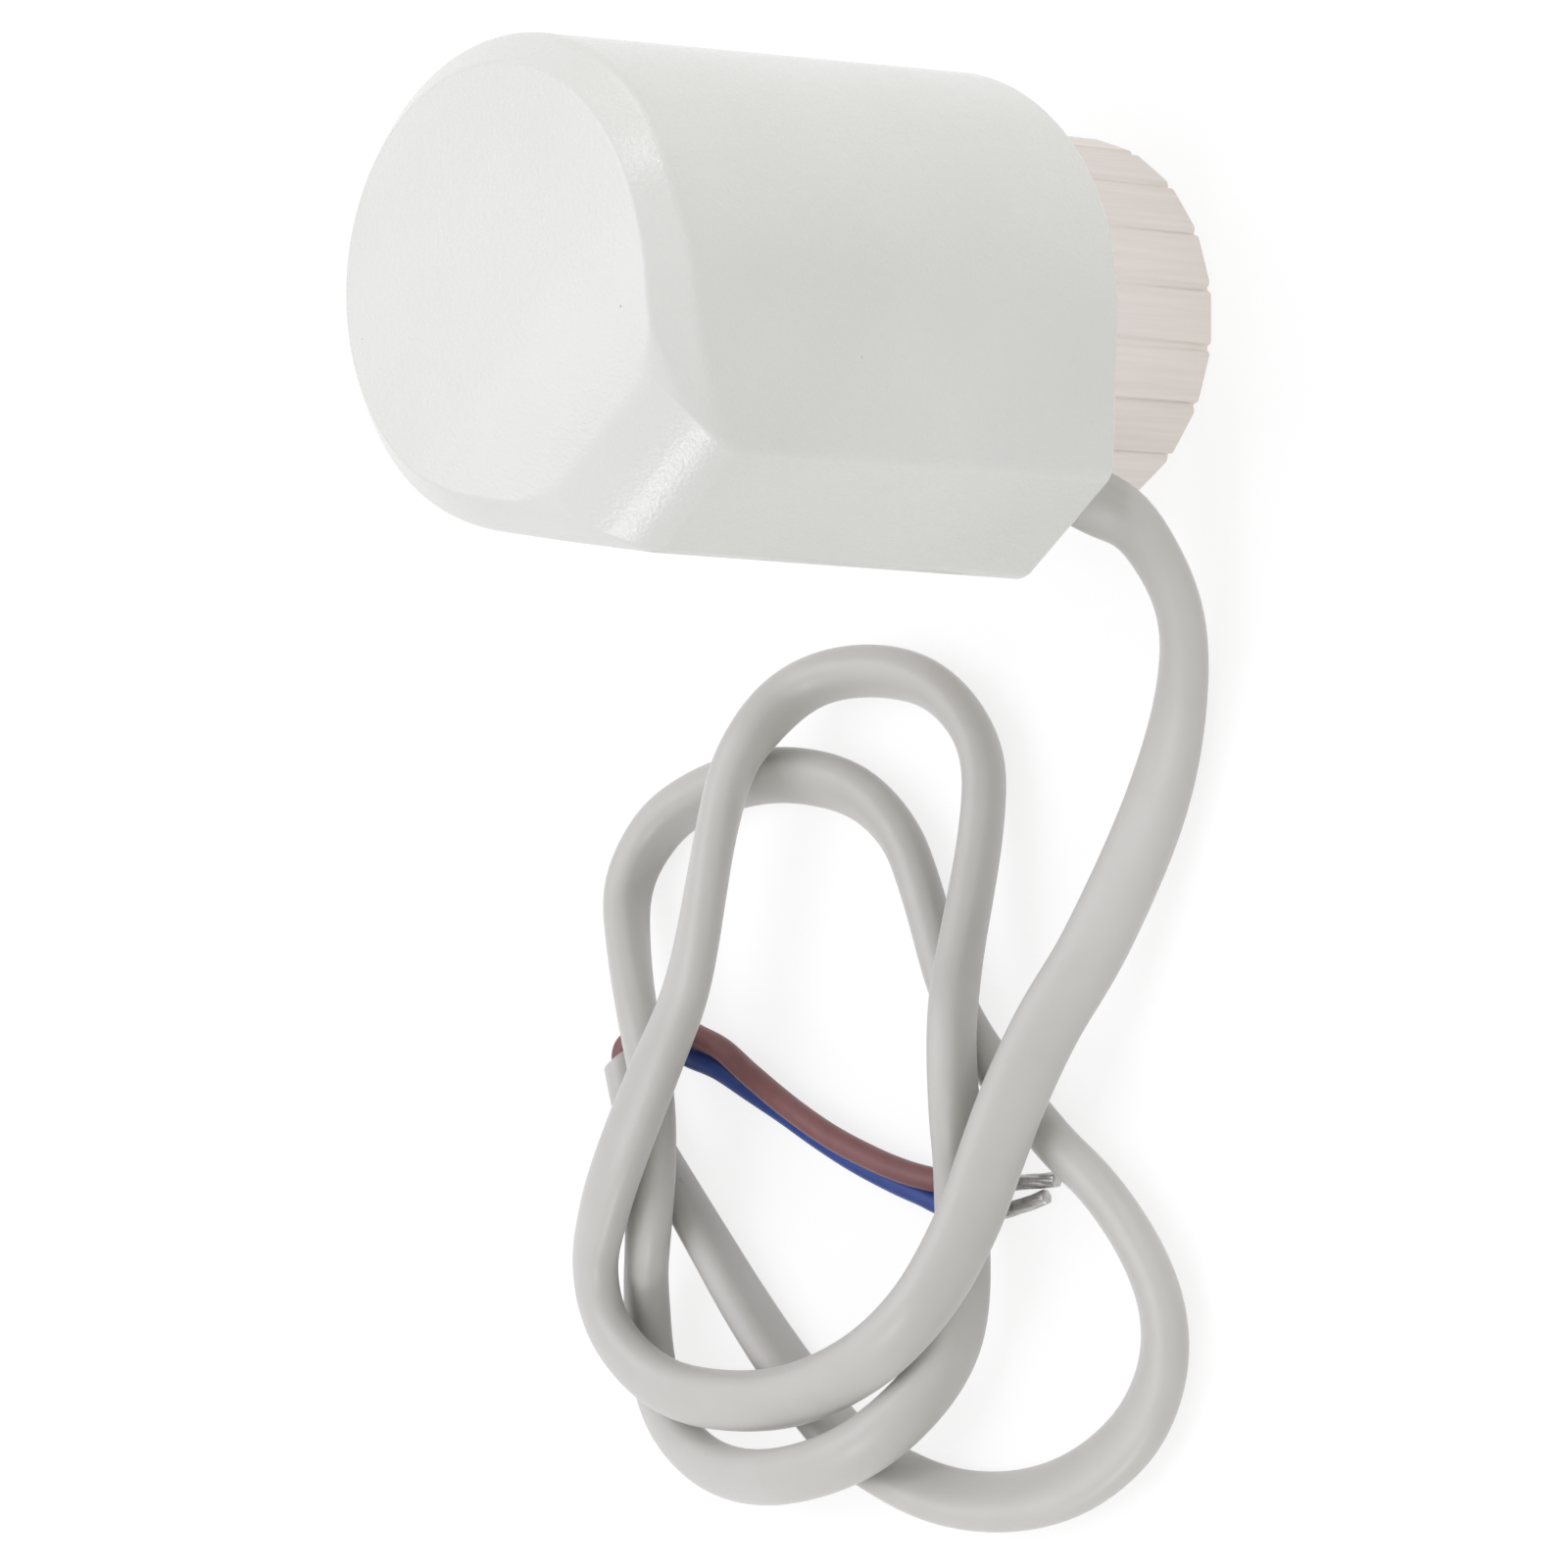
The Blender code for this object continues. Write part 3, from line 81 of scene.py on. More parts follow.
def photo_camera():
    """A camera looking down at the head, turned a quarter turn."""
    ahead = Vector((
        math.sin(CAMERA_PAN) * math.cos(CAMERA_TILT),
        math.cos(CAMERA_PAN) * math.cos(CAMERA_TILT),
        -math.sin(CAMERA_TILT),
    ))
    level = Vector((math.cos(CAMERA_PAN), -math.sin(CAMERA_PAN), 0))
    rise = level.cross(ahead)
    side = level * math.cos(CAMERA_ROLL) + rise * math.sin(CAMERA_ROLL)
    top = rise * math.cos(CAMERA_ROLL) - level * math.sin(CAMERA_ROLL)
    data = bpy.data.cameras.new("photo_camera")
    data.sensor_width = SENSOR_WIDTH
    data.lens = FOCAL_PIXELS * SENSOR_WIDTH / FRAME_PIXELS
    camera = bpy.data.objects.new("photo_camera", data)
    bpy.context.scene.collection.objects.link(camera)
    turn = Matrix((-top, side, -ahead)).transposed()
    camera.matrix_world = Matrix.Translation(CAMERA_PLACE) @ turn.to_4x4()
    bpy.context.scene.camera = camera
    return camera


camera = photo_camera()
print("camera lens", round(camera.data.lens, 1), "mm")

# %% [markdown]
# Lofting
#
# Nearly every piece here is a row of sections: a cable is one oval carried along a path, the casing is one
# plan drawn in a little at each height, and the nut is a circle whose radius changes with the height.
# Blender's curves and modifiers could make each of them, but one helper that joins rows of points gives
# even quads and full control of every edge. The small curve helper spaces points evenly on a smooth path.

# %% Helpers for lofts and curves
SHARP_ANGLE = math.radians(40)


def loft(name, rings, closed=False, folded=False):
    """A mesh through rows of points, each row a closed ring. Unless the rows close on themselves, the two
    end rings get a face each, or where they are folded, strips between mirrored points."""
    rings = np.asarray(rings, float)
    rows, columns = rings.shape[:2]
    faces = []
    for row in range(rows if closed else rows - 1):
        here = row * columns
        following = (row + 1) % rows * columns
        for k in range(columns):
            after = (k + 1) % columns
            faces.append((here + k, here + after, following + after, following + k))
    for first in () if closed else (0, (rows - 1) * columns):
        if folded:
            last = first + columns - 1
            strips = [(first + k, first + k + 1, last - k - 1, last - k) for k in range(columns // 2)]
            faces += [tuple(dict.fromkeys(strip)) for strip in strips]
        else:
            faces.append(tuple(range(first, first + columns)))
    mesh = bpy.data.meshes.new(name)
    mesh.from_pydata(rings.reshape(-1, 3).tolist(), [], faces)
    shape = bmesh.new()
    shape.from_mesh(mesh)
    bmesh.ops.recalc_face_normals(shape, faces=shape.faces)
    shape.to_mesh(mesh)
    shape.free()
    mesh.shade_smooth()
    mesh.set_sharp_from_angle(angle=SHARP_ANGLE)
    piece = bpy.data.objects.new(name, mesh)
    bpy.context.scene.collection.objects.link(piece)
    return piece


def smooth_curve(points, count):
    """Points spaced evenly along a smooth curve through the given points, of any number of values."""
    given = np.array(points, float)
    padded = np.vstack([2 * given[0] - given[1], given, 2 * given[-1] - given[-2]])
    dense = []
    for k in range(len(given) - 1):
        before, start, end, after = padded[k : k + 4]
        for t in np.linspace(0, 1, 24, endpoint=False):
            bend = (end - before) * t + (2 * before - 5 * start + 4 * end - after) * t * t
            dense.append(start + (bend + (3 * (start - end) + after - before) * t**3) / 2)
    dense = np.array(dense + [given[-1]])
    steps = np.linalg.norm(np.diff(dense[:, :3], axis=0), axis=1)
    run = np.concatenate([[0], np.cumsum(steps)])
    wanted = np.linspace(0, run[-1], count)
    return np.stack([np.interp(wanted, run, dense[:, k]) for k in range(given.shape[1])], axis=1)


def path_length(points):
    return float(np.linalg.norm(np.diff(np.asarray(points), axis=0), axis=1).sum())


def dress(piece, finish, body, slot, *nodes):
    """Gives a piece its finish, lets it ride on a body, and hides the CAD nodes that it takes the place of."""
    piece.data.materials.clear()
    piece.data.materials.append(finish)
    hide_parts(*nodes)
    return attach(piece, body)


print("helpers ready")

# %% [markdown]
# Finishes
#
# Every surface here has some grain or streak, and all of it is made from noise, in millimetres.
# A finish could start from a picture, but noise has no seams and no edges, and looks right at any distance.
# The helpers below give a fresh shader, a noise in millimetres, a colour ramp and a bump.

# %% Helpers for finishes


def new_finish(name, roughness, metallic=0.0):
    finish = bpy.data.materials.new(name)
    finish.use_nodes = True
    shader = finish.node_tree.nodes["Principled BSDF"]
    shader.inputs["Roughness"].default_value = roughness
    shader.inputs["Metallic"].default_value = metallic
    return finish, shader


def noise(finish, scale, detail=2.0, stretch=(1, 1, 1)):
    """A noise with scale waves to the millimetre, drawn out along an axis where stretch is below 1."""
    nodes = finish.node_tree.nodes
    links = finish.node_tree.links
    place = nodes.new("ShaderNodeTexCoord")
    mapping = nodes.new("ShaderNodeMapping")
    mapping.inputs["Scale"].default_value = [part / MM for part in stretch]
    wave = nodes.new("ShaderNodeTexNoise")
    wave.inputs["Scale"].default_value = scale
    wave.inputs["Detail"].default_value = detail
    links.new(place.outputs["Object"], mapping.inputs["Vector"])
    links.new(mapping.outputs["Vector"], wave.inputs["Vector"])
    return wave.outputs["Fac"]


def ramp(finish, factor, stops):
    """Colours by a factor. Stops are (place, colour) pairs."""
    node = finish.node_tree.nodes.new("ShaderNodeValToRGB")
    band = node.color_ramp
    while len(band.elements) < len(stops):
        band.elements.new(0.5)
    for element, (place, colour) in zip(band.elements, stops):
        element.position = place
        element.color = (*colour, 1)
    finish.node_tree.links.new(factor, node.inputs["Fac"])
    return node.outputs["Color"]


def multiplied(finish, first, second):
    node = finish.node_tree.nodes.new("ShaderNodeMix")
    node.data_type = "RGBA"
    node.blend_type = "MULTIPLY"
    node.inputs["Factor"].default_value = 1
    finish.node_tree.links.new(first, node.inputs["A"])
    finish.node_tree.links.new(second, node.inputs["B"])
    return node.outputs["Result"]


def bump(finish, shader, height, distance, strength=1.0):
    """Raises the surface by height, up to distance millimetres."""
    node = finish.node_tree.nodes.new("ShaderNodeBump")
    node.inputs["Distance"].default_value = distance * MM
    node.inputs["Strength"].default_value = strength
    finish.node_tree.links.new(height, node.inputs["Height"])
    finish.node_tree.links.new(node.outputs["Normal"], shader.inputs["Normal"])


def grey(level):
    return (level, level, level)


print("finish helpers ready")

# %% [markdown]
# The cable's jacket
#
# A soft grey plastic jacket round two cores, flatter than it is wide, about 0.60 m long and shown from end to
# end. It could be a bevelled curve, but a curve's section can't roll along its way, and this cable twists from
# flat to on edge as it lies. So an oval is carried along the same route as the solid, with a roll at each
# point. The soft finish has faint mottling and a few faint marks.

# %% Route of the cable
NOSE_TURN = math.radians(-45)
CABLE_REACH = 19.95 * MM
CABLE_LEAN = 0.02
CABLE_WIDTH = 6.2 * MM
CABLE_THICKNESS = 4.0 * MM
CABLE_INNER_END = 30.0 * MM
CASING_LOW = 17.5 * MM
CABLE_ROUTE = (
    (-14.2, -14.2, 14.8, 0),
    (-15.6, -15.7, 12.0, -6),
    (-17.5, -18, 9.2, -25),
    (-24.3, -20.2, 5.4, -35),
    (-32.5, -19.4, 3.4, -22),
    (-42.9, -17.1, 3.5, 8),
    (-55, -13.2, 5.6, 30),
    (-62.5, -10, 7.6, 40),
    (-69.3, -7.9, 9.2, 48),
    (-74.9, -6.3, 9.9, 56),
    (-82, -3.9, 10.3, 63),
    (-89.4, -0.9, 12.2, 65),
    (-95.9, 6.5, 12.0, 54),
    (-101, 18.4, 9.9, 38),
    (-102.9, 30.3, 8.8, 30),
    (-102, 37.7, 8.7, 29),
    (-98.1, 43.3, 9.3, 30),
    (-92.4, 44.3, 10.7, 23),
    (-86.3, 41.1, 13.0, 15),
    (-79.8, 37.8, 14.0, 15),
    (-71.9, 35.7, 12.6, 18),
    (-63.5, 34.8, 9.9, 28),
    (-48.4, 32.9, 9.3, 49),
    (-41.3, 30.6, 9.0, 69),
    (-35.3, 27.6, 5.2, 98),
    (-33, 20.5, 3.4, 120),
    (-33.8, 11.9, 3.0, 127),
    (-38.7, 5.2, 3.4, 128),
    (-46, 3.1, 4.5, 126),
    (-58.4, 2, 7.4, 118),
    (-64.2, 0.4, 9.4, 113),
    (-70.7, 0.2, 8.7, 111),
    (-77.3, 1.1, 6.3, 106),
    (-89.8, 0.4, 5.6, 95),
    (-97.1, 2.6, 6.3, 78),
    (-104.1, 8.3, 9.2, 60),
    (-108.5, 18.7, 9.0, 50),
    (-109.8, 30.2, 6.2, 38),
    (-107.3, 38.6, 4.4, 29),
    (-102.5, 43, 3.3, 24),
    (-94.8, 42.8, 5.1, 21),
    (-88, 39.5, 8.6, 22),
    (-81.1, 39.2, 8.8, 27),
    (-74.7, 40.9, 8.0, 34),
    (-68.4, 44.3, 7.2, 43),
    (-62.5, 48, 5.5, 54),
    (-56.5, 50.5, 3.9, 69),
    (-51.3, 48.4, 3.2, 86),
    (-47.8, 44.1, 3.2, 101),
    (-44.9, 37.2, 3.0, 117),
    (-43.6, 29.5, 3.0, 133),
    (-44.4, 21.3, 2.8, 138),
    (-47.9, 15.1, 2.9, 134),
    (-53.1, 11.5, 3.0, 132),
    (-64.2, 5.3, 2.9, 131),
    (-73.3, -6.5, 3.0, 128),
    (-77.1, -13, 3.0, 126),
    (-81.9, -18.5, 2.9, 133),
    (-87.2, -21.8, 2.7, 143),
    (-92.9, -22.2, 2.6, 152),
    (-98.8, -19.5, 2.6, 158),
    (-104, -13.5, 2.7, 154),
    (-107.1, -6.1, 2.9, 140),
    (-108.2, 2.5, 3.0, 124),
    (-107.1, 10.5, 3.1, 109),
    (-104.5, 17.7, 3.2, 96),
    (-96.8, 28.2, 3.2, 84),
    (-87.7, 38.3, 3.1, 66),
    (-79.1, 47.5, 3.0, 54),
    (-75.8, 49.4, 3.0, 48),
    (-72.5, 50.8, 3.0, 45),
)
NOSE_WAY = Vector((math.sin(NOSE_TURN), -math.cos(NOSE_TURN), 0))
cable_exit = NOSE_WAY * CABLE_REACH + Vector((0, 0, CASING_LOW))
print("cable leaves the nose at", [round(v / MM, 2) for v in cable_exit])

# %% Jacket of the cable
CABLE_STATIONS = 640
CABLE_SIDES = 36
CABLE_SQUARENESS = 2.4
CABLE_EASE = 3
CUT_RINGS = 6
CUT_BACK = 0.5 * MM
CUT_SLANT = 0.5
CUT_LOW_SIDE = Vector((0, 0.7, 0.714))


def eased(samples, reach):
    """Evens out the bends of a path a little, with its two ends kept."""
    weights = np.hanning(2 * reach + 3)[1:-1]
    weights /= weights.sum()
    padded = np.vstack([
        2 * samples[0] - samples[reach:0:-1],
        samples,
        2 * samples[-1] - samples[-2 : -reach - 2 : -1],
    ])
    columns = [np.convolve(padded[:, k], weights, "valid") for k in range(samples.shape[1])]
    return np.stack(columns, axis=1)


def oval(width, thickness, sides, squareness):
    """An oval section that is a little fuller than an ellipse."""
    angles = np.linspace(0, 2 * math.pi, sides, endpoint=False)
    share = 2 / squareness
    across = np.sign(np.cos(angles)) * np.abs(np.cos(angles)) ** share * width / 2
    upwards = np.sign(np.sin(angles)) * np.abs(np.sin(angles)) ** share * thickness / 2
    return np.stack([across, upwards], axis=1)


def cable_samples():
    """Middle points and rolls of the cable, from its end inside the head to its free end."""
    route = [(*cable_exit, 0)]
    route += [(x * MM, y * MM, z * MM, math.radians(roll)) for x, y, z, roll in CABLE_ROUTE]
    lying = eased(smooth_curve(route, CABLE_STATIONS), CABLE_EASE)
    heights = np.linspace(CABLE_INNER_END, CASING_LOW, 12, endpoint=False)
    standing = [(cable_exit.x, cable_exit.y, z, 0) for z in heights]
    return np.vstack([standing, lying])


def cable_rings(samples):
    section = oval(CABLE_WIDTH, CABLE_THICKNESS, CABLE_SIDES, CABLE_SQUARENESS)
    tangents = np.gradient(samples[:, :3], axis=0)
    rings = []
    for (x, y, z, roll), tangent in zip(samples, tangents):
        along = Vector(tangent).normalized()
        side = (along + NOSE_WAY * CABLE_LEAN).cross(Vector((0, 0, 1))).normalized()
        lift = side.cross(along).normalized()
        side = along.cross(lift)
        wide = side * math.cos(roll) + lift * math.sin(roll)
        thin = wide.cross(along)
        rings.append([Vector((x, y, z)) + wide * u + thin * v for u, v in section])
    return rings


def cut_aslant(rings, samples):
    """Slides the last rings back along the cable, more on one side, so that its free end is cut aslant."""
    along = Vector(samples[-1, :3] - samples[-2, :3]).normalized()
    for step in range(1, CUT_RINGS + 1):
        share = 1 - (step - 1) / CUT_RINGS
        middle = Vector(samples[-step, :3])
        slides = [share * (CUT_BACK + CUT_SLANT * (point - middle).dot(CUT_LOW_SIDE)) for point in rings[-step]]
        rings[-step] = [point - along * slide for point, slide in zip(rings[-step], slides)]
    return rings


def jacket_finish():
    finish, shader = new_finish("cable_jacket", 0.4)
    shader.inputs["Specular IOR Level"].default_value = 0.5
    shader.inputs["Sheen Weight"].default_value = 0.45
    shader.inputs["Sheen Roughness"].default_value = 0.3
    body = ramp(finish, noise(finish, 0.12), [(0.3, (0.525, 0.515, 0.48)), (0.7, (0.555, 0.545, 0.51))])
    marks = ramp(finish, noise(finish, 0.45, 6), [(0.22, grey(0.80)), (0.28, grey(1)), (1, grey(1))])
    finish.node_tree.links.new(multiplied(finish, body, marks), shader.inputs["Base Color"])
    bump(finish, shader, noise(finish, 1.6, 3), 0.05, 0.35)
    return finish


samples = cable_samples()
jacket = loft("cable_jacket", cut_aslant(cable_rings(samples), samples))
jacket_plastic = jacket_finish()
dress(jacket, jacket_plastic, "housing", "cable_jacket", "cable")

# %% [markdown]
# The two cores
#
# Past the end of the jacket a brown and a blue core run on, fold back under the loops and end in bare, tinned
# strands. They could be bevelled curves, and lofts of circles do the same with rounded cut ends.
# The strands are one slightly twisted, lobed rod each: seven tinned wires in a bundle show as shallow lobes.

# %% Cores and their tinned ends
CORE_RADIUS = 1.15 * MM
CORE_STATIONS = 180
WIRE_RADIUS = 0.72 * MM
WIRE_STATIONS = 60
WIRE_LOBES = 7
WIRE_LOBE_DEPTH = 0.1
WIRE_TWIST = 2 * math.pi / (22 * MM)
BROWN_ROUTE = (
    (-73.6, 49.45, 3.9),
    (-72.5, 49.6, 3.85),
    (-71.75, 49.4, 3.75),
    (-71.15, 48.85, 3.55),
    (-70.65, 48.0, 3.35),
    (-69.8, 46.55, 3.1),
    (-69.1, 45, 2.8),
    (-69.19, 42.91, 2.5),
    (-69.78, 41.03, 2.4),
    (-70.68, 37.33, 2.45),
    (-72.57, 32.97, 2.75),
    (-75.01, 26.93, 3.09),
    (-76.99, 21.23, 3.13),
    (-78.34, 15.8, 3.03),
    (-79.08, 11.56, 2.88),
    (-79.38, 8.46, 2.5),
    (-79.41, 6.41, 1.85),
    (-79.32, 4.53, 1.45),
    (-79.11, 2.55, 1.3),
    (-78.85, 0.61, 1.25),
)
BROWN_WIRE_ROUTE = (
    (-78.98, 1.2, 1.27),
    (-78.8, 0.2, 1.22),
    (-78.12, -3.29, 0.95),
    (-77.58, -6.14, 0.75),
)
BLUE_ROUTE = (
    (-74.0, 51.1, 2.1),
    (-72.85, 51.35, 2.05),
    (-72.05, 51.2, 1.85),
    (-71.5, 50.6, 1.55),
    (-71.2, 49.6, 1.35),
    (-71.1, 48.1, 1.25),
    (-71.35, 45.8, 1.25),
    (-72.04, 42.65, 1.25),
    (-72.72, 38.75, 1.25),
    (-74.24, 34.1, 1.25),
    (-75.72, 29.61, 1.25),
    (-77.58, 24.44, 1.25),
    (-79.15, 19.44, 1.25),
    (-80.41, 14.18, 1.25),
    (-81.12, 10.35, 1.25),
    (-81.54, 8.45, 1.25),
    (-81.9, 6, 1.25),
    (-82.06, 3.82, 1.25),
    (-81.96, 2.06, 1.25),
)
BLUE_WIRE_ROUTE = (
    (-82.0, 2.6, 1.25),
    (-81.86, 1.66, 1.22),
    (-81.32, 0.01, 1.1),
    (-80.37, -2.46, 0.9),
    (-79.27, -4.94, 0.75),
)


def round_rod(name, points, radius, sides=24, lobes=0, twist=0.0, depth=0.0, ends=0.3):
    """A rod along a path, lobed and twisted where lobes is given, with its ends drawn in."""
    points = np.asarray(points, float)
    tangents = np.gradient(points, axis=0)
    run = np.concatenate([[0], np.cumsum(np.linalg.norm(np.diff(points, axis=0), axis=1))])
    angles = np.linspace(0, 2 * math.pi, sides, endpoint=False)
    normal = Vector((0, 0, 1))
    rings = []
    for middle, tangent, place in zip(points, tangents, run):
        along = Vector(tangent).normalized()
        normal = (normal - along * normal.dot(along)).normalized()
        other = along.cross(normal)
        near = min(place, run[-1] - place) / (ends * MM)
        drawn_in = math.sqrt(max(0.0, 1 - max(0.0, 1 - near) ** 2)) * 0.4 + 0.6
        ring = []
        for angle in angles:
            reach = radius * drawn_in * (1 - depth * (1 - abs(math.cos(lobes / 2 * angle))))
            turned = angle + twist * place
            ring.append(Vector(middle) + (normal * math.cos(turned) + other * math.sin(turned)) * reach)
        rings.append(ring)
    return loft(name, rings)


def core_finish(name, dark, light):
    finish, shader = new_finish(name, 0.42)
    shader.inputs["Specular IOR Level"].default_value = 0.4
    colour = ramp(finish, noise(finish, 0.5, 3), [(0.3, dark), (0.7, light)])
    finish.node_tree.links.new(colour, shader.inputs["Base Color"])
    bump(finish, shader, noise(finish, 2.5), 0.03, 0.3)
    return finish


def tinned_finish():
    finish, shader = new_finish("tinned_copper", 0.38, 1.0)
    colour = ramp(finish, noise(finish, 1.2, 3), [(0.3, (0.42, 0.41, 0.40)), (0.7, (0.62, 0.61, 0.60))])
    finish.node_tree.links.new(colour, shader.inputs["Base Color"])
    bump(finish, shader, noise(finish, 4.0), 0.03, 0.4)
    return finish


brown_plastic = core_finish("brown_insulation", (0.20, 0.085, 0.085), (0.235, 0.10, 0.10))
blue_plastic = core_finish("blue_insulation", (0.022, 0.055, 0.25), (0.03, 0.068, 0.29))
tin = tinned_finish()


def lay_core(name, route, wire_route, finish, slot):
    """One core with its bare end, leaving the jacket's end."""
    path = smooth_curve(np.array(route) * MM, CORE_STATIONS)
    core = round_rod(name + "_insulation", path, CORE_RADIUS, ends=0.2)
    dress(core, finish, "housing", slot, name)
    wire_path = smooth_curve(np.array(wire_route) * MM, WIRE_STATIONS)
    wire = round_rod(
        name + "_strands", wire_path, WIRE_RADIUS, 56, WIRE_LOBES, WIRE_TWIST, WIRE_LOBE_DEPTH, 0.2
    )
    dress(wire, tin, "housing", "tinned_copper", name.replace("core", "wire_end"))


lay_core("brown_core", BROWN_ROUTE, BROWN_WIRE_ROUTE, brown_plastic, "brown_insulation")
lay_core("blue_core", BLUE_ROUTE, BLUE_WIRE_ROUTE, blue_plastic, "blue_insulation")

# %% [markdown]
# The casing
#
# One moulding: round at the back, with a flat nose in front, slightly narrower at the top so that it leaves
# its mould. Its roof is flat at the back, sinks in a slow curve to the nose, and has a chamfer all round that
# is crisp on the flanks, and soft and twice as long on the nose. A bevel on a block could round its edges, but it would not give
# the ridges where the nose's chamfer meets the flanks. So the plan is drawn in ring by ring along a profile,
# over the roof's edge, down the side, round the rim and up the inside, and the roof's rings are then sunk.

# %% Plan and profile of the casing
HEAD_RADIUS = 22.0 * MM
HEAD_TOP = 72.0 * MM
NOSE_REACH = 25.3 * MM
NOSE_HALF_WIDTH = 6.9 * MM
NOSE_CORNER_RADIUS = 2.5 * MM
LEAST_CORNER_RADIUS = 0.25 * MM
DRAFT_INSET = 0.95 * MM
TOP_CHAMFER = 2.7 * MM
ROOF_BAND = 6.5 * MM
ROOF_CREST = 4.5 * MM
ROOF_FALL_RADIUS = 38.0 * MM
COVER_WALL = 2.0 * MM
COVER_ROOF = 2.2 * MM
REBATE_DEPTH = 0.7 * MM
REBATE_TOP = 22.0 * MM
NOSE_STRETCH = 1.0
FLANK_RADII = np.array((0.7, 1.8)) * MM
NOSE_RADII = np.array((4.8, 4.0)) * MM
RIM_RADIUS = 0.8 * MM
ROUNDING_STEPS = 7
CORNER_POINTS = 13
FLANK_POINTS = 16
ROUND_POINTS = 151
NOSE_SLANT = math.asin(HEAD_RADIUS / math.hypot(NOSE_REACH, NOSE_HALF_WIDTH))
NOSE_SLANT -= math.atan2(NOSE_HALF_WIDTH, NOSE_REACH)


def arc(centre, radius, start, end, count):
    angles = np.linspace(start, end, count)
    return [(centre[0] + radius * math.cos(a), centre[1] + radius * math.sin(a)) for a in angles]


def turned_to_nose(points):
    """Points drawn with the nose along -Y, turned to where the nose points."""
    points = np.asarray(points, float)
    turn = np.array(Matrix.Rotation(NOSE_TURN, 3, "Z"))
    return points @ turn.T


def plan_columns():
    """Direction, share and side of each column of the plan, from the nose's corner round to its other one.
    The share goes from 0 in a corner, along the flank, to 1 on the round."""
    turns = np.linspace(-math.pi / 2, -NOSE_SLANT, CORNER_POINTS)
    turns = np.concatenate([turns, np.full(FLANK_POINTS, -NOSE_SLANT)])
    shares = np.concatenate([np.zeros(CORNER_POINTS), np.linspace(0, 1, FLANK_POINTS + 2)[1:-1]])
    around = np.linspace(-NOSE_SLANT, math.pi + NOSE_SLANT, ROUND_POINTS)
    sides = np.ones(len(turns) + ROUND_POINTS)
    return (
        np.concatenate([turns, around, turns[::-1]]),
        np.concatenate([shares, np.ones(ROUND_POINTS), shares[::-1]]),
        np.concatenate([sides, -np.ones(len(turns))]),
    )


def plan_points(insets, nose_insets):
    """Points of the plan, a round with a flat nose along -Y. Each is drawn in by its own two insets."""
    turns, shares, sides = plan_columns()
    radius = HEAD_RADIUS - insets
    reach = NOSE_REACH - nose_insets
    half = (radius - reach * math.sin(NOSE_SLANT)) / math.cos(NOSE_SLANT)
    corner = np.maximum(NOSE_CORNER_RADIUS - insets, LEAST_CORNER_RADIUS)
    setback = corner * math.tan((math.pi / 2 - NOSE_SLANT) / 2)
    x = (1 - shares) * (half - setback + corner * np.cos(turns)) + shares * radius * np.cos(turns)
    y = (1 - shares) * (corner - reach + corner * np.sin(turns)) + shares * radius * np.sin(turns)
    return np.dstack([x * sides, y])


def rounded(corners, steps=ROUNDING_STEPS):
    """A line through corners (x, y, radius), each corner rounded by its own radius."""
    points = []
    for number, (x, y, radius) in enumerate(corners):
        here = Vector((x, y))
        if radius == 0:
            points.append((x, y))
            continue
        before = (Vector(corners[number - 1][:2]) - here).normalized()
        after = (Vector(corners[number + 1][:2]) - here).normalized()
        half = before.angle(after) / 2
        centre = here + (before + after).normalized() * radius / math.sin(half)
        start = here + before * radius / math.tan(half) - centre
        end = here + after * radius / math.tan(half) - centre
        first = math.atan2(start.y, start.x)
        sweep = (math.atan2(end.y, end.x) - first + math.pi) % (2 * math.pi) - math.pi
        points += arc(centre, radius, first, first + sweep, steps)
    return points


def casing_profile(edge_radius, shoulder_radius):
    """Pairs of inset and height, from the roof over its edge, down, round the rim and up the inside."""
    roof_low = HEAD_TOP - COVER_ROOF
    return rounded([
        (ROOF_BAND, HEAD_TOP, 0),
        (TOP_CHAMFER, HEAD_TOP, edge_radius),
        (0, HEAD_TOP - TOP_CHAMFER, shoulder_radius),
        (0, CASING_LOW, RIM_RADIUS),
        (COVER_WALL - REBATE_DEPTH, CASING_LOW, 0.1 * MM),
        (COVER_WALL - REBATE_DEPTH, REBATE_TOP, 0),
        (COVER_WALL, REBATE_TOP, 0),
        (COVER_WALL, roof_low - TOP_CHAMFER / 2, 0.8 * MM),
        (COVER_WALL + TOP_CHAMFER / 2, roof_low, 0.8 * MM),
        (ROOF_BAND, roof_low, 0),
    ])


def roof_fall(forward):
    """How far the roof has sunk at a place so far in front of the axis."""
    past = np.maximum(forward - ROOF_CREST, 0)
    return ROOF_FALL_RADIUS - np.sqrt(ROOF_FALL_RADIUS**2 - past**2)


plan_size = len(plan_columns()[0])
print("casing plan:", plan_size, "points, roof sinks", round(roof_fall(NOSE_REACH) / MM, 1), "mm to the nose")
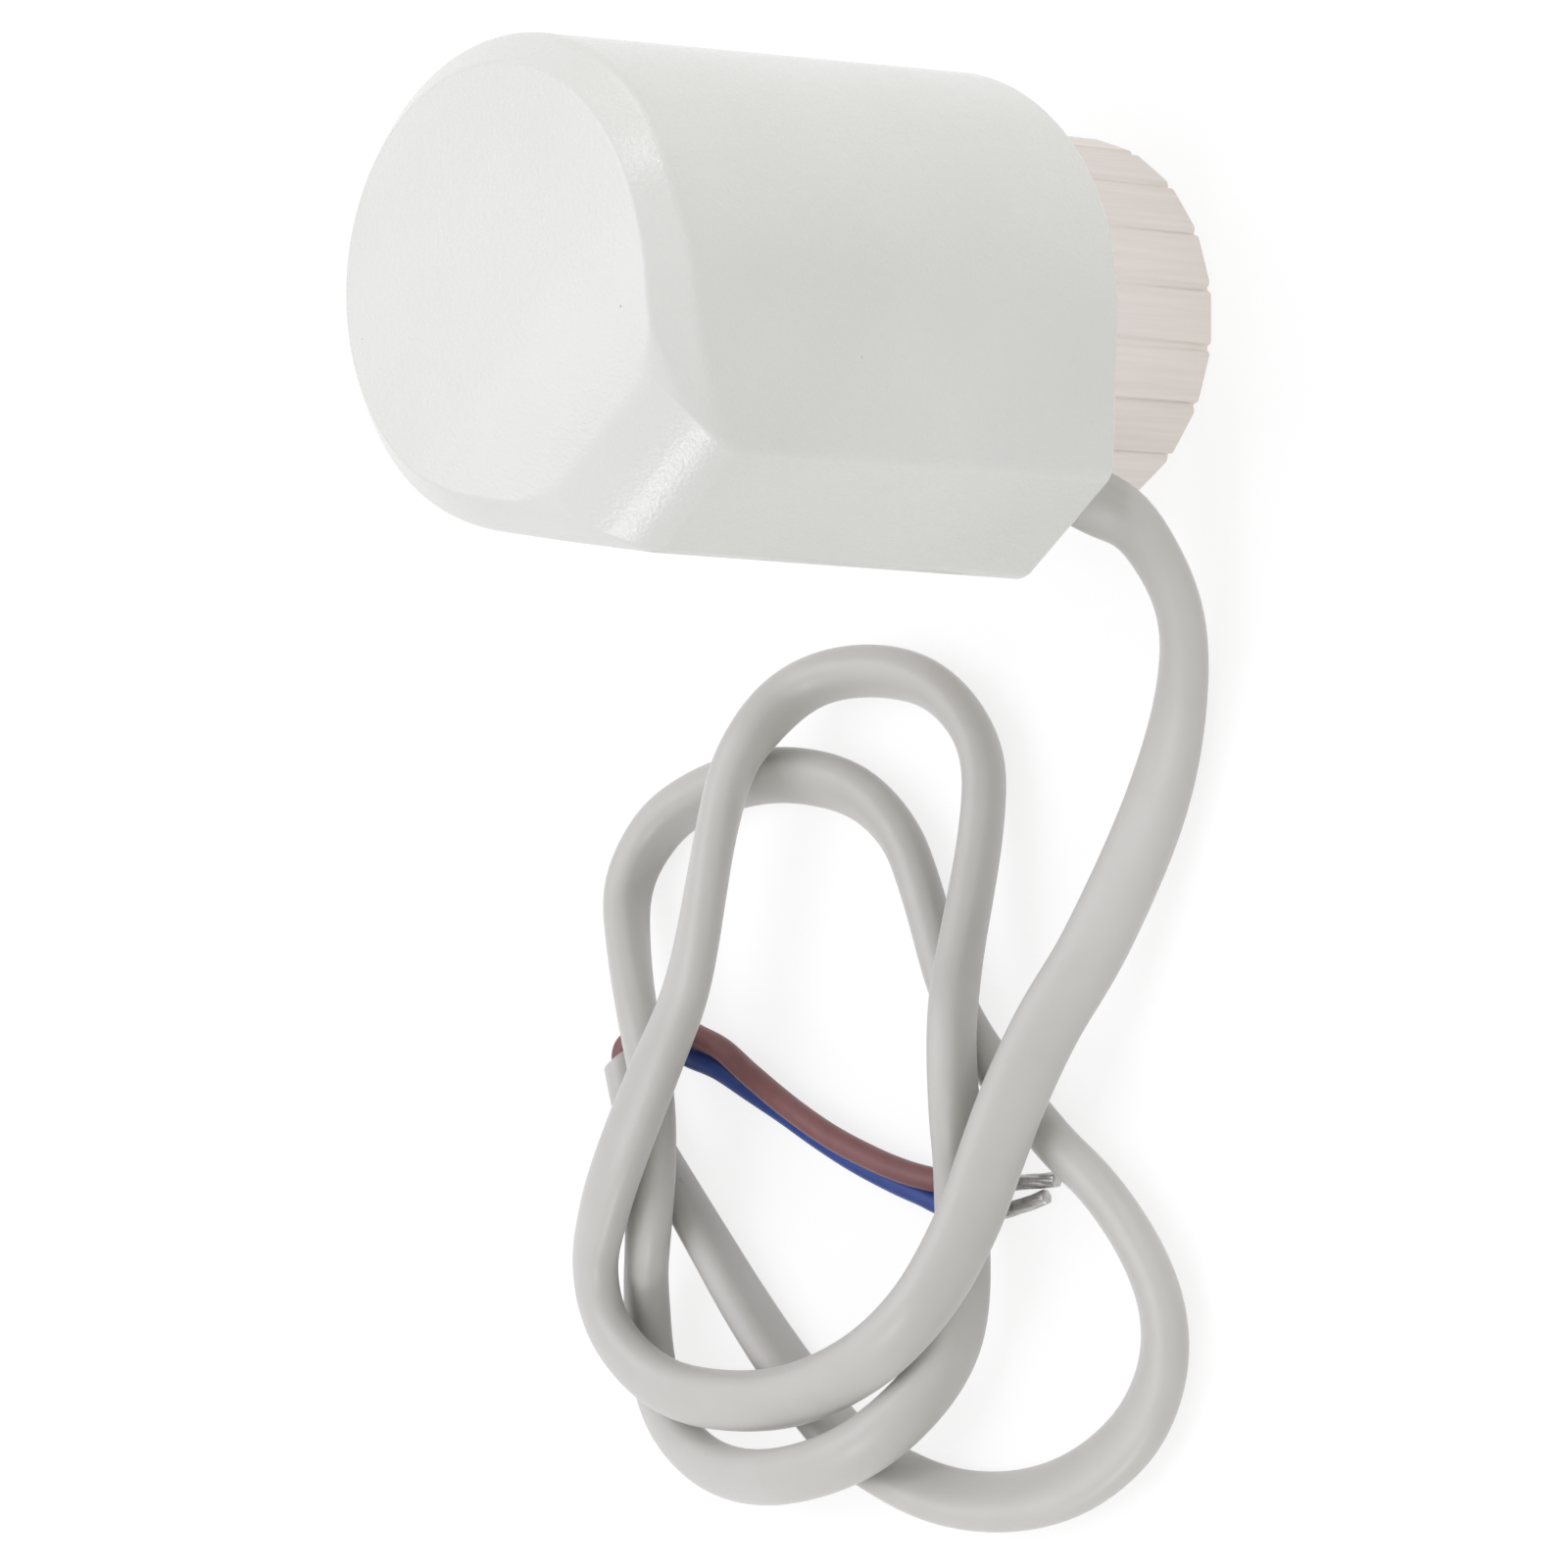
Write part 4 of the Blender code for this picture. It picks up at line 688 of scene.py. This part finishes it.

# %% [markdown]
# The casing's finish
#
# The moulding is off-white and matt, with the fine even grain of a spark-eroded tool, so the light breaks up
# into tiny sparkles on the chamfer. A displaced mesh would need millions of faces for grains of a tenth of a
# millimetre, so one fine noise in a bump does it, and a few dark specks and a slow change of tone keep the
# large faces from looking dead.

# %% Casing and its finish


def casing_finish():
    finish, shader = new_finish("casing_plastic", 0.2)
    shader.inputs["Specular IOR Level"].default_value = 0.4
    body = ramp(finish, noise(finish, 0.05), [(0.3, (0.70, 0.71, 0.67)), (0.7, (0.73, 0.735, 0.70))])
    specks = ramp(finish, noise(finish, 1.5, 1), [(0.0, grey(0.35)), (0.15, grey(0.4)), (0.165, grey(1))])
    finish.node_tree.links.new(multiplied(finish, body, specks), shader.inputs["Base Color"])
    bump(finish, shader, noise(finish, 2.8, 3), 0.08, 0.65)
    return finish


def casing():
    half = np.concatenate([np.ones(CORNER_POINTS), np.maximum(np.linspace(1, -1, FLANK_POINTS), 0)])
    softness = np.concatenate([half, np.zeros(ROUND_POINTS), half[::-1]])
    columns = [casing_profile(*FLANK_RADII + (NOSE_RADII - FLANK_RADII) * soft) for soft in softness]
    insets, heights = np.array(columns).transpose(2, 1, 0)
    up = (heights - CASING_LOW) / (HEAD_TOP - CASING_LOW)
    drawn_in = insets + DRAFT_INSET * up
    roof_rows = (np.arange(len(insets)) < 1 + 2 * ROUNDING_STEPS)[:, None]
    stretch = NOSE_STRETCH * np.minimum(insets, TOP_CHAMFER) * roof_rows
    plan = plan_points(drawn_in, drawn_in + stretch)
    fall = np.where(up > 0.5, roof_fall(-plan[..., 1]), 0)
    piece = loft("casing", turned_to_nose(np.dstack([plan, heights - fall])), folded=True)
    steady = piece.modifiers.new("steady_shading", "WEIGHTED_NORMAL")
    steady.keep_sharp = True
    return piece


white_plastic = casing_finish()
cover = dress(casing(), white_plastic, "housing", "casing_plastic", "housing_cover")
print("casing:", len(cover.data.polygons), "faces")

# %% [markdown]
# The union nut
#
# A turned brass nut with a pale plated finish. Twenty flat lands with narrow grooves between them give the
# hand a grip, and inside is the thread that screws on the valve.
# Booleans could cut the grooves, but here the nut is one sheet of points round the axis: at each angle the
# radius is that of the land or the groove, and inside a wave that climbs with the angle makes the thread.

# %% Shape of the nut
NUT_RADIUS = 17.4 * MM
NUT_HEIGHT = 16.6 * MM
NUT_LANDS = 20
NUT_COLUMNS = 320
GROOVE_HALF_WIDTH = 0.55 * MM
GROOVE_DEPTH = 0.15 * MM
NOTCH_DEPTH = 0.5 * MM
NOTCH_REACH = 1.2 * MM
GROOVE_FLOOR = 0.2
GROOVE_TURN = math.radians(5.4)
LAND_FLATNESS = 0.9
NUT_CHAMFER = 0.6 * MM
SHOULDER_LOW = 13.0 * MM
SHOULDER_BORE = 12.1 * MM
THREAD_MAJOR = 15.0 * MM
THREAD_DEPTH = 0.8 * MM
THREAD_PITCH = 1.5 * MM
THREAD_LOW = 0.9 * MM
THREAD_TOP = 10.9 * MM
THREAD_ROWS_PER_PITCH = 12


def land_radius(angle, height):
    """Outer radius of the nut: a nearly flat land, or the groove between two, deepest at the lower rim."""
    pitch = 2 * math.pi / NUT_LANDS
    off_groove = abs((angle + pitch / 2) % pitch - pitch / 2)
    off_middle = pitch / 2 - off_groove
    edge = pitch / 2 - GROOVE_HALF_WIDTH / NUT_RADIUS
    flat = NUT_RADIUS * math.cos(edge) / math.cos(min(off_middle, edge))
    land = NUT_RADIUS + (flat - NUT_RADIUS) * LAND_FLATNESS
    share = off_groove * NUT_RADIUS / GROOVE_HALF_WIDTH
    depth = min(1.0, max(0.0, (1 - share) / (1 - GROOVE_FLOOR)))
    deepest = GROOVE_DEPTH + (NOTCH_DEPTH - GROOVE_DEPTH) * math.exp(-height / NOTCH_REACH)
    return land - deepest * depth * depth * (3 - 2 * depth)


def nut_columns():
    """Angles round the nut, closer together at the grooves."""
    per_land = NUT_COLUMNS // NUT_LANDS
    pitch = 2 * math.pi / NUT_LANDS
    groove = GROOVE_HALF_WIDTH / NUT_RADIUS
    near = np.linspace(-groove * 1.1, groove * 1.1, per_land // 2, endpoint=False)
    across = np.linspace(groove * 1.1, pitch - groove * 1.1, per_land // 2, endpoint=False)
    return [land * pitch + a for land in range(NUT_LANDS) for a in np.concatenate([near, across])]


def thread_radius(angle, height):
    """Inner radius of the thread: a flattened wave that climbs one pitch to the turn."""
    wave = math.cos(2 * math.pi * (height / THREAD_PITCH - angle / (2 * math.pi)))
    crest = 0.5 + 0.5 * math.tanh(2.2 * wave) / math.tanh(2.2)
    lead_in = min(1.0, max(0.0, (height - THREAD_LOW) / THREAD_PITCH))
    run_out = min(1.0, max(0.0, (THREAD_TOP - height) / THREAD_PITCH))
    return THREAD_MAJOR - THREAD_DEPTH * crest * min(lead_in, run_out)


def nut():
    angles = nut_columns()
    outer = rounded([
        (-1.5 * NUT_CHAMFER, 0, 0),
        (-NUT_CHAMFER, 0, 0.2 * MM),
        (0, NUT_CHAMFER, 0.3 * MM),
        (0, NUT_HEIGHT - NUT_CHAMFER, 0.3 * MM),
        (-NUT_CHAMFER, NUT_HEIGHT, 0.2 * MM),
        (-1.5 * NUT_CHAMFER, NUT_HEIGHT, 0),
    ], 4)
    rings = [[(land_radius(a, z) + drawn, a, z) for a in angles] for drawn, z in outer]
    inner = rounded([
        (SHOULDER_BORE + 1.0 * MM, NUT_HEIGHT, 0),
        (SHOULDER_BORE, NUT_HEIGHT, 0.25 * MM),
        (SHOULDER_BORE, SHOULDER_LOW, 0.15 * MM),
        (THREAD_MAJOR, SHOULDER_LOW, 0.25 * MM),
        (THREAD_MAJOR, THREAD_TOP + 0.5 * MM, 0),
    ], 4)
    rings += [[(radius, a, z) for a in angles] for radius, z in inner]
    rows = round((THREAD_TOP - THREAD_LOW) / THREAD_PITCH * THREAD_ROWS_PER_PITCH)
    for z in np.linspace(THREAD_TOP, THREAD_LOW, rows):
        rings.append([(thread_radius(a, z), a, z) for a in angles])
    rings.append([(THREAD_MAJOR, a, 0.5 * MM) for a in angles])
    rings.append([(THREAD_MAJOR + 0.5 * MM, a, 0) for a in angles])
    rings = [[(r, a + GROOVE_TURN, z) for r, a, z in ring] for ring in rings]
    rings = [[(r * math.cos(a), r * math.sin(a), z) for r, a, z in ring] for ring in rings]
    return loft("union_nut_body", [turned_to_nose(ring) for ring in rings], closed=True)


union_nut = nut()
print("nut:", len(union_nut.data.polygons), "faces")

# %% [markdown]
# The nut's finish
#
# Plated brass with a satin, slightly pinkish tone and faint streaks along the axis, as the blank was drawn.
# Streaks could come from anisotropy, but they should stay visible in any light, so a noise drawn out along
# the axis changes both the tone and the gloss a little.

# %% Finish of the nut


def plated_finish():
    finish, shader = new_finish("plated_nut", 0.36, 1.0)
    streaks = noise(finish, 1.6, 4, (1, 1, 0.03))
    colour = ramp(finish, streaks, [(0.3, (0.70, 0.645, 0.605)), (0.7, (0.75, 0.70, 0.66))])
    gloss = ramp(finish, noise(finish, 2.4, 3, (1, 1, 0.05)), [(0.3, grey(0.42)), (0.7, grey(0.54))])
    finish.node_tree.links.new(colour, shader.inputs["Base Color"])
    finish.node_tree.links.new(gloss, shader.inputs["Roughness"])
    bump(finish, shader, noise(finish, 3.0, 3, (1, 1, 0.05)), 0.03, 0.35)
    return finish


plated = plated_finish()
dress(union_nut, plated, "nut", "plated_nut", "union_nut")

# %% [markdown]
# The plunger
#
# The pin that pushes on the valve's stem, seen only from below, inside the nut. Its solid has forty sides, so
# a finer turned piece replaces it, with the same sizes and rounded edges.

# %% Plunger
PLUNGER_RADIUS = 4.0 * MM
PLUNGER_LOW = 8.4 * MM
STUD_RADIUS = 2.0 * MM
BUSH_TOP = 21.9 * MM
STUD_TOP = 25.8 * MM
TURNED_COLUMNS = 96


def turned_piece(name, profile):
    """A piece turned round the axis from a profile of (radius, height)."""
    angles = np.linspace(0, 2 * math.pi, TURNED_COLUMNS, endpoint=False)
    rings = [[(r * math.cos(a), r * math.sin(a), z) for a in angles] for r, z in profile]
    return loft(name, rings)


def plastic_finish(name, dark, light, roughness, grain):
    finish, shader = new_finish(name, roughness)
    colour = ramp(finish, noise(finish, 0.4, 4), [(0.3, dark), (0.7, light)])
    finish.node_tree.links.new(colour, shader.inputs["Base Color"])
    bump(finish, shader, noise(finish, 4.0, 3), 0.04, grain)
    return finish


inner_plastic = plastic_finish("inner_plastic", (0.42, 0.42, 0.41), (0.48, 0.48, 0.47), 0.5, 0.3)
plunger = turned_piece("plunger", rounded([
    (0.3 * MM, PLUNGER_LOW, 0),
    (PLUNGER_RADIUS, PLUNGER_LOW, 0.5 * MM),
    (PLUNGER_RADIUS, BUSH_TOP, 0.2 * MM),
    (STUD_RADIUS, BUSH_TOP, 0),
    (STUD_RADIUS, STUD_TOP, 0.3 * MM),
    (0.3 * MM, STUD_TOP, 0),
]))
dress(plunger, inner_plastic, "plunger", "inner_plastic", "plunger_stem")
print("plunger:", len(plunger.data.polygons), "faces")

# %% [markdown]
# The closing spring
#
# A steel spring round the drive pushes the plunger down. When the wax lifts the plunger, the spring gets
# shorter: its lower end follows the cage and its upper end stays on its seat.

# %% Closing spring
SPRING_RADIUS = 15.7 * MM
SPRING_WIRE_RADIUS = 1.0 * MM
SPRING_COILS = 7
SPRING_LOW = 25.7 * MM
SPRING_HIGH = 61.6 * MM
SPRING_DEAD_PITCH = 2.7 * MM
SPRING_POINTS_PER_COIL = 48


def steel_finish():
    finish, shader = new_finish("spring_steel", 0.34, 1.0)
    colour = ramp(finish, noise(finish, 0.8, 4), [(0.3, grey(0.45)), (0.7, grey(0.58))])
    finish.node_tree.links.new(colour, shader.inputs["Base Color"])
    bump(finish, shader, noise(finish, 5.0, 2), 0.02, 0.3)
    return finish


def spring_path():
    turns = [0, 1, SPRING_COILS - 1, SPRING_COILS]
    heights = [SPRING_LOW, SPRING_LOW + SPRING_DEAD_PITCH, SPRING_HIGH - SPRING_DEAD_PITCH, SPRING_HIGH]
    points = []
    for turn in np.linspace(0, SPRING_COILS, SPRING_COILS * SPRING_POINTS_PER_COIL + 1):
        angle = 2 * math.pi * turn
        height = float(np.interp(turn, turns, heights))
        points.append((SPRING_RADIUS * math.cos(angle), SPRING_RADIUS * math.sin(angle), height))
    return turned_to_nose(points)


steel = steel_finish()
spring = round_rod("closing_spring_wire", spring_path(), SPRING_WIRE_RADIUS, 16)
dress(spring, steel, "housing", "spring_steel", "closing_spring")
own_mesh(spring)

# %% [markdown]
# The inner leads
#
# Two thin insulated leads run from the cable's inner end up the nose, over the spring's seat and down to the
# heater, which moves with the plunger.

# %% Inner leads
LEAD_RADIUS = 0.9 * MM
LEAD_STATIONS = 120
LEAD_START = 1.1 * MM
LEAD_END = 2.5 * MM
LEAD_OUTSIDE = 18.7 * MM
LEAD_INSIDE = 11.31 * MM
SEAT_OUTER = 17.2 * MM
SEAT_INNER = 14.2 * MM
SEAT_LOW = 62.9 * MM
SEAT_TOP = 64.5 * MM
LEAD_OVER = 66.3 * MM
LIVE_TAB_TOP = 59.2 * MM
NEUTRAL_TAB_TOP = 56.1 * MM
SEAT_GAP = 0.3 * MM


def inner_lead(name, side, tab_top, finish, node):
    start = side * LEAD_START
    end = side * LEAD_END
    bend = LEAD_RADIUS + SEAT_GAP
    points = [
        (start, -CABLE_REACH, CABLE_INNER_END),
        (start, -CABLE_REACH, CABLE_INNER_END + 4 * LEAD_RADIUS),
        (end, -(CABLE_REACH + LEAD_OUTSIDE) / 2, (CABLE_INNER_END + SEAT_LOW) / 2),
        (end, -LEAD_OUTSIDE, SEAT_LOW - bend),
        (end, -LEAD_OUTSIDE + LEAD_RADIUS / 4, SEAT_TOP),
        (end, -SEAT_OUTER, LEAD_OVER - SEAT_GAP),
        (end, -SPRING_RADIUS, LEAD_OVER),
        (end, -SEAT_INNER, LEAD_OVER - SEAT_GAP),
        (end, -LEAD_INSIDE - LEAD_RADIUS, SEAT_TOP + SEAT_GAP),
        (end, -LEAD_INSIDE, SEAT_LOW - bend),
        (end, -LEAD_INSIDE, tab_top + SEAT_GAP),
    ]
    lead = round_rod(name, turned_to_nose(smooth_curve(points, LEAD_STATIONS)), LEAD_RADIUS, 16)
    lead.data.materials.append(finish)
    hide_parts(node)
    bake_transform(lead)
    print(name, "length", round(path_length(smooth_curve(points, LEAD_STATIONS)) / MM), "mm")


inner_lead("live_lead_wire", -1, LIVE_TAB_TOP, brown_plastic, "live_lead")
inner_lead("neutral_lead_wire", 1, NEUTRAL_TAB_TOP, blue_plastic, "neutral_lead")

# %% [markdown]
# The pieces that keep their solid's shape
#
# The drive inside the head is turned, stamped and moulded parts whose solids already have the right shape, so
# they stay, and only get a finish each: brass, wax, ceramic, rubber, steel and plastic.

# %% Finishes of the remaining pieces


def metal_finish(name, dark, light, roughness):
    finish, shader = new_finish(name, roughness, 1.0)
    colour = ramp(finish, noise(finish, 0.7, 4), [(0.3, dark), (0.7, light)])
    finish.node_tree.links.new(colour, shader.inputs["Base Color"])
    bump(finish, shader, noise(finish, 3.5, 2), 0.02, 0.3)
    return finish


brass = metal_finish("capsule_brass", (0.62, 0.43, 0.17), (0.76, 0.56, 0.25), 0.33)
rubber = plastic_finish("seal_rubber", (0.022, 0.022, 0.022), (0.035, 0.035, 0.035), 0.75, 0.6)
wax = plastic_finish("set_wax", (0.74, 0.63, 0.38), (0.82, 0.72, 0.47), 0.55, 0.4)
ceramic = plastic_finish("heater_ceramic", (0.16, 0.15, 0.14), (0.22, 0.21, 0.20), 0.7, 0.5)
finishes = {
    "base_plate": white_plastic,
    "cover_gasket": rubber,
    "nut_retaining_ring": steel,
    "plunger_bush": inner_plastic,
    "plunger_seal": rubber,
    "stem_clip": steel,
    "lifting_cage": inner_plastic,
    "support_bridge": steel,
    "wax_piston": steel,
    "piston_guide": brass,
    "wax_capsule": brass,
    "wax_diaphragm": rubber,
    "wax_charge": wax,
    "lower_contact": tin,
    "ptc_heater": ceramic,
    "upper_contact": tin,
    "heater_cap": inner_plastic,
    "spring_seat": inner_plastic,
    "cable_grommet": rubber,
    "cable_grip": brass,
}
for node, finish in finishes.items():
    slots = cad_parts[node].data.materials
    slots.clear()
    slots.append(finish)
print("finished", len(finishes), "CAD nodes")

# %% [markdown]
# Floor and light
#
# The photograph has a plain white ground. A white floor under ordinary light would look grey at its far end,
# so the floor and the sky show as white to the camera, and to mirrors, while they light the object only as a
# pale room would. The floor keeps a little of its own shading, so the object's soft shadow stays on it.
# A broad lamp above and weaker ones round the object give soft light and two glints, beside the room's own.

# %% Floor
FLOOR_SIZE = 3.0
FLOOR_GLOW = 0.80
FLOOR_SHADE = 0.24
FLOOR_BOUNCE = 0.9


def seen_directly(tree):
    """1 where a ray comes from the camera, a mirror or through glass."""
    path = tree.nodes.new("ShaderNodeLightPath")
    total = path.outputs["Is Camera Ray"]
    for name in ("Is Glossy Ray", "Is Transmission Ray"):
        join = tree.nodes.new("ShaderNodeMath")
        join.operation = "MAXIMUM"
        tree.links.new(total, join.inputs[0])
        tree.links.new(path.outputs[name], join.inputs[1])
        total = join.outputs["Value"]
    return total


def floor_finish():
    finish = bpy.data.materials.new("white_floor")
    finish.use_nodes = True
    tree = finish.node_tree
    tree.nodes.remove(tree.nodes["Principled BSDF"])
    bounce = tree.nodes.new("ShaderNodeBsdfDiffuse")
    bounce.inputs["Color"].default_value = (*grey(FLOOR_BOUNCE), 1)
    shade = tree.nodes.new("ShaderNodeBsdfDiffuse")
    shade.inputs["Color"].default_value = (*grey(FLOOR_SHADE), 1)
    glow = tree.nodes.new("ShaderNodeEmission")
    glow.inputs["Strength"].default_value = FLOOR_GLOW
    both = tree.nodes.new("ShaderNodeAddShader")
    choice = tree.nodes.new("ShaderNodeMixShader")
    tree.links.new(shade.outputs["BSDF"], both.inputs[0])
    tree.links.new(glow.outputs["Emission"], both.inputs[1])
    tree.links.new(seen_directly(tree), choice.inputs["Fac"])
    tree.links.new(bounce.outputs["BSDF"], choice.inputs[1])
    tree.links.new(both.outputs["Shader"], choice.inputs[2])
    tree.links.new(choice.outputs["Shader"], tree.nodes["Material Output"].inputs["Surface"])
    return finish


def floor():
    half = FLOOR_SIZE / 2
    mesh = bpy.data.meshes.new("floor")
    mesh.from_pydata([(-half, -half, 0), (half, -half, 0), (half, half, 0), (-half, half, 0)], [], [(0, 1, 2, 3)])
    mesh.materials.append(floor_finish())
    piece = bpy.data.objects.new("floor", mesh)
    bpy.context.scene.collection.objects.link(piece)
    return piece


floor()
print("floor", FLOOR_SIZE, "m square")

# %% Sky and lamps
SKY_LEVEL = 0.63
LAMPS = (
    ("top_lamp", (0.0, 0.36, 1.18), 1.2, 6.0, (1.0, 0.97, 1.10)),
    ("far_lamp", (1.10, -0.10, 0.32), 0.6, 1.7, (1.0, 0.98, 0.94)),
    ("near_lamp", (-1.05, -0.16, 0.50), 0.32, 2.0, (1.0, 1.0, 1.0)),
    ("glint_lamp", (0.85, -0.40, 0.70), 0.1, 0.9, (1.0, 1.0, 1.0)),
    ("front_lamp", (0.10, -1.05, 0.40), 0.6, 0.4, (1.0, 1.0, 1.0)),
)
LAMP_TARGET = Vector((-0.03, 0.0, 0.03))


def sky():
    world = bpy.data.worlds.new("white_room")
    bpy.context.scene.world = world
    world.use_nodes = True
    tree = world.node_tree
    shown = tree.nodes["Background"]
    shown.inputs["Color"].default_value = (1, 1, 1, 1)
    shown.inputs["Strength"].default_value = 1
    room = tree.nodes.new("ShaderNodeBackground")
    room.inputs["Color"].default_value = (1, 1, 1, 1)
    room.inputs["Strength"].default_value = SKY_LEVEL
    choice = tree.nodes.new("ShaderNodeMixShader")
    tree.links.new(seen_directly(tree), choice.inputs["Fac"])
    tree.links.new(room.outputs["Background"], choice.inputs[1])
    tree.links.new(shown.outputs["Background"], choice.inputs[2])
    tree.links.new(choice.outputs["Shader"], tree.nodes["World Output"].inputs["Surface"])


def lamp(name, place, size, power, tint):
    data = bpy.data.lights.new(name, "AREA")
    data.shape = "DISK"
    data.size = size
    data.energy = power
    data.color = tint
    piece = bpy.data.objects.new(name, data)
    piece.location = place
    piece.rotation_euler = (LAMP_TARGET - Vector(place)).to_track_quat("-Z", "Y").to_euler()
    bpy.context.scene.collection.objects.link(piece)


sky()
for settings in LAMPS:
    lamp(*settings)
bpy.context.scene.view_settings.view_transform = "Standard"
print("lamps:", len(LAMPS))

# %% [markdown]
# Closing
#

# %% Last update of the scene
bpy.context.view_layer.update()
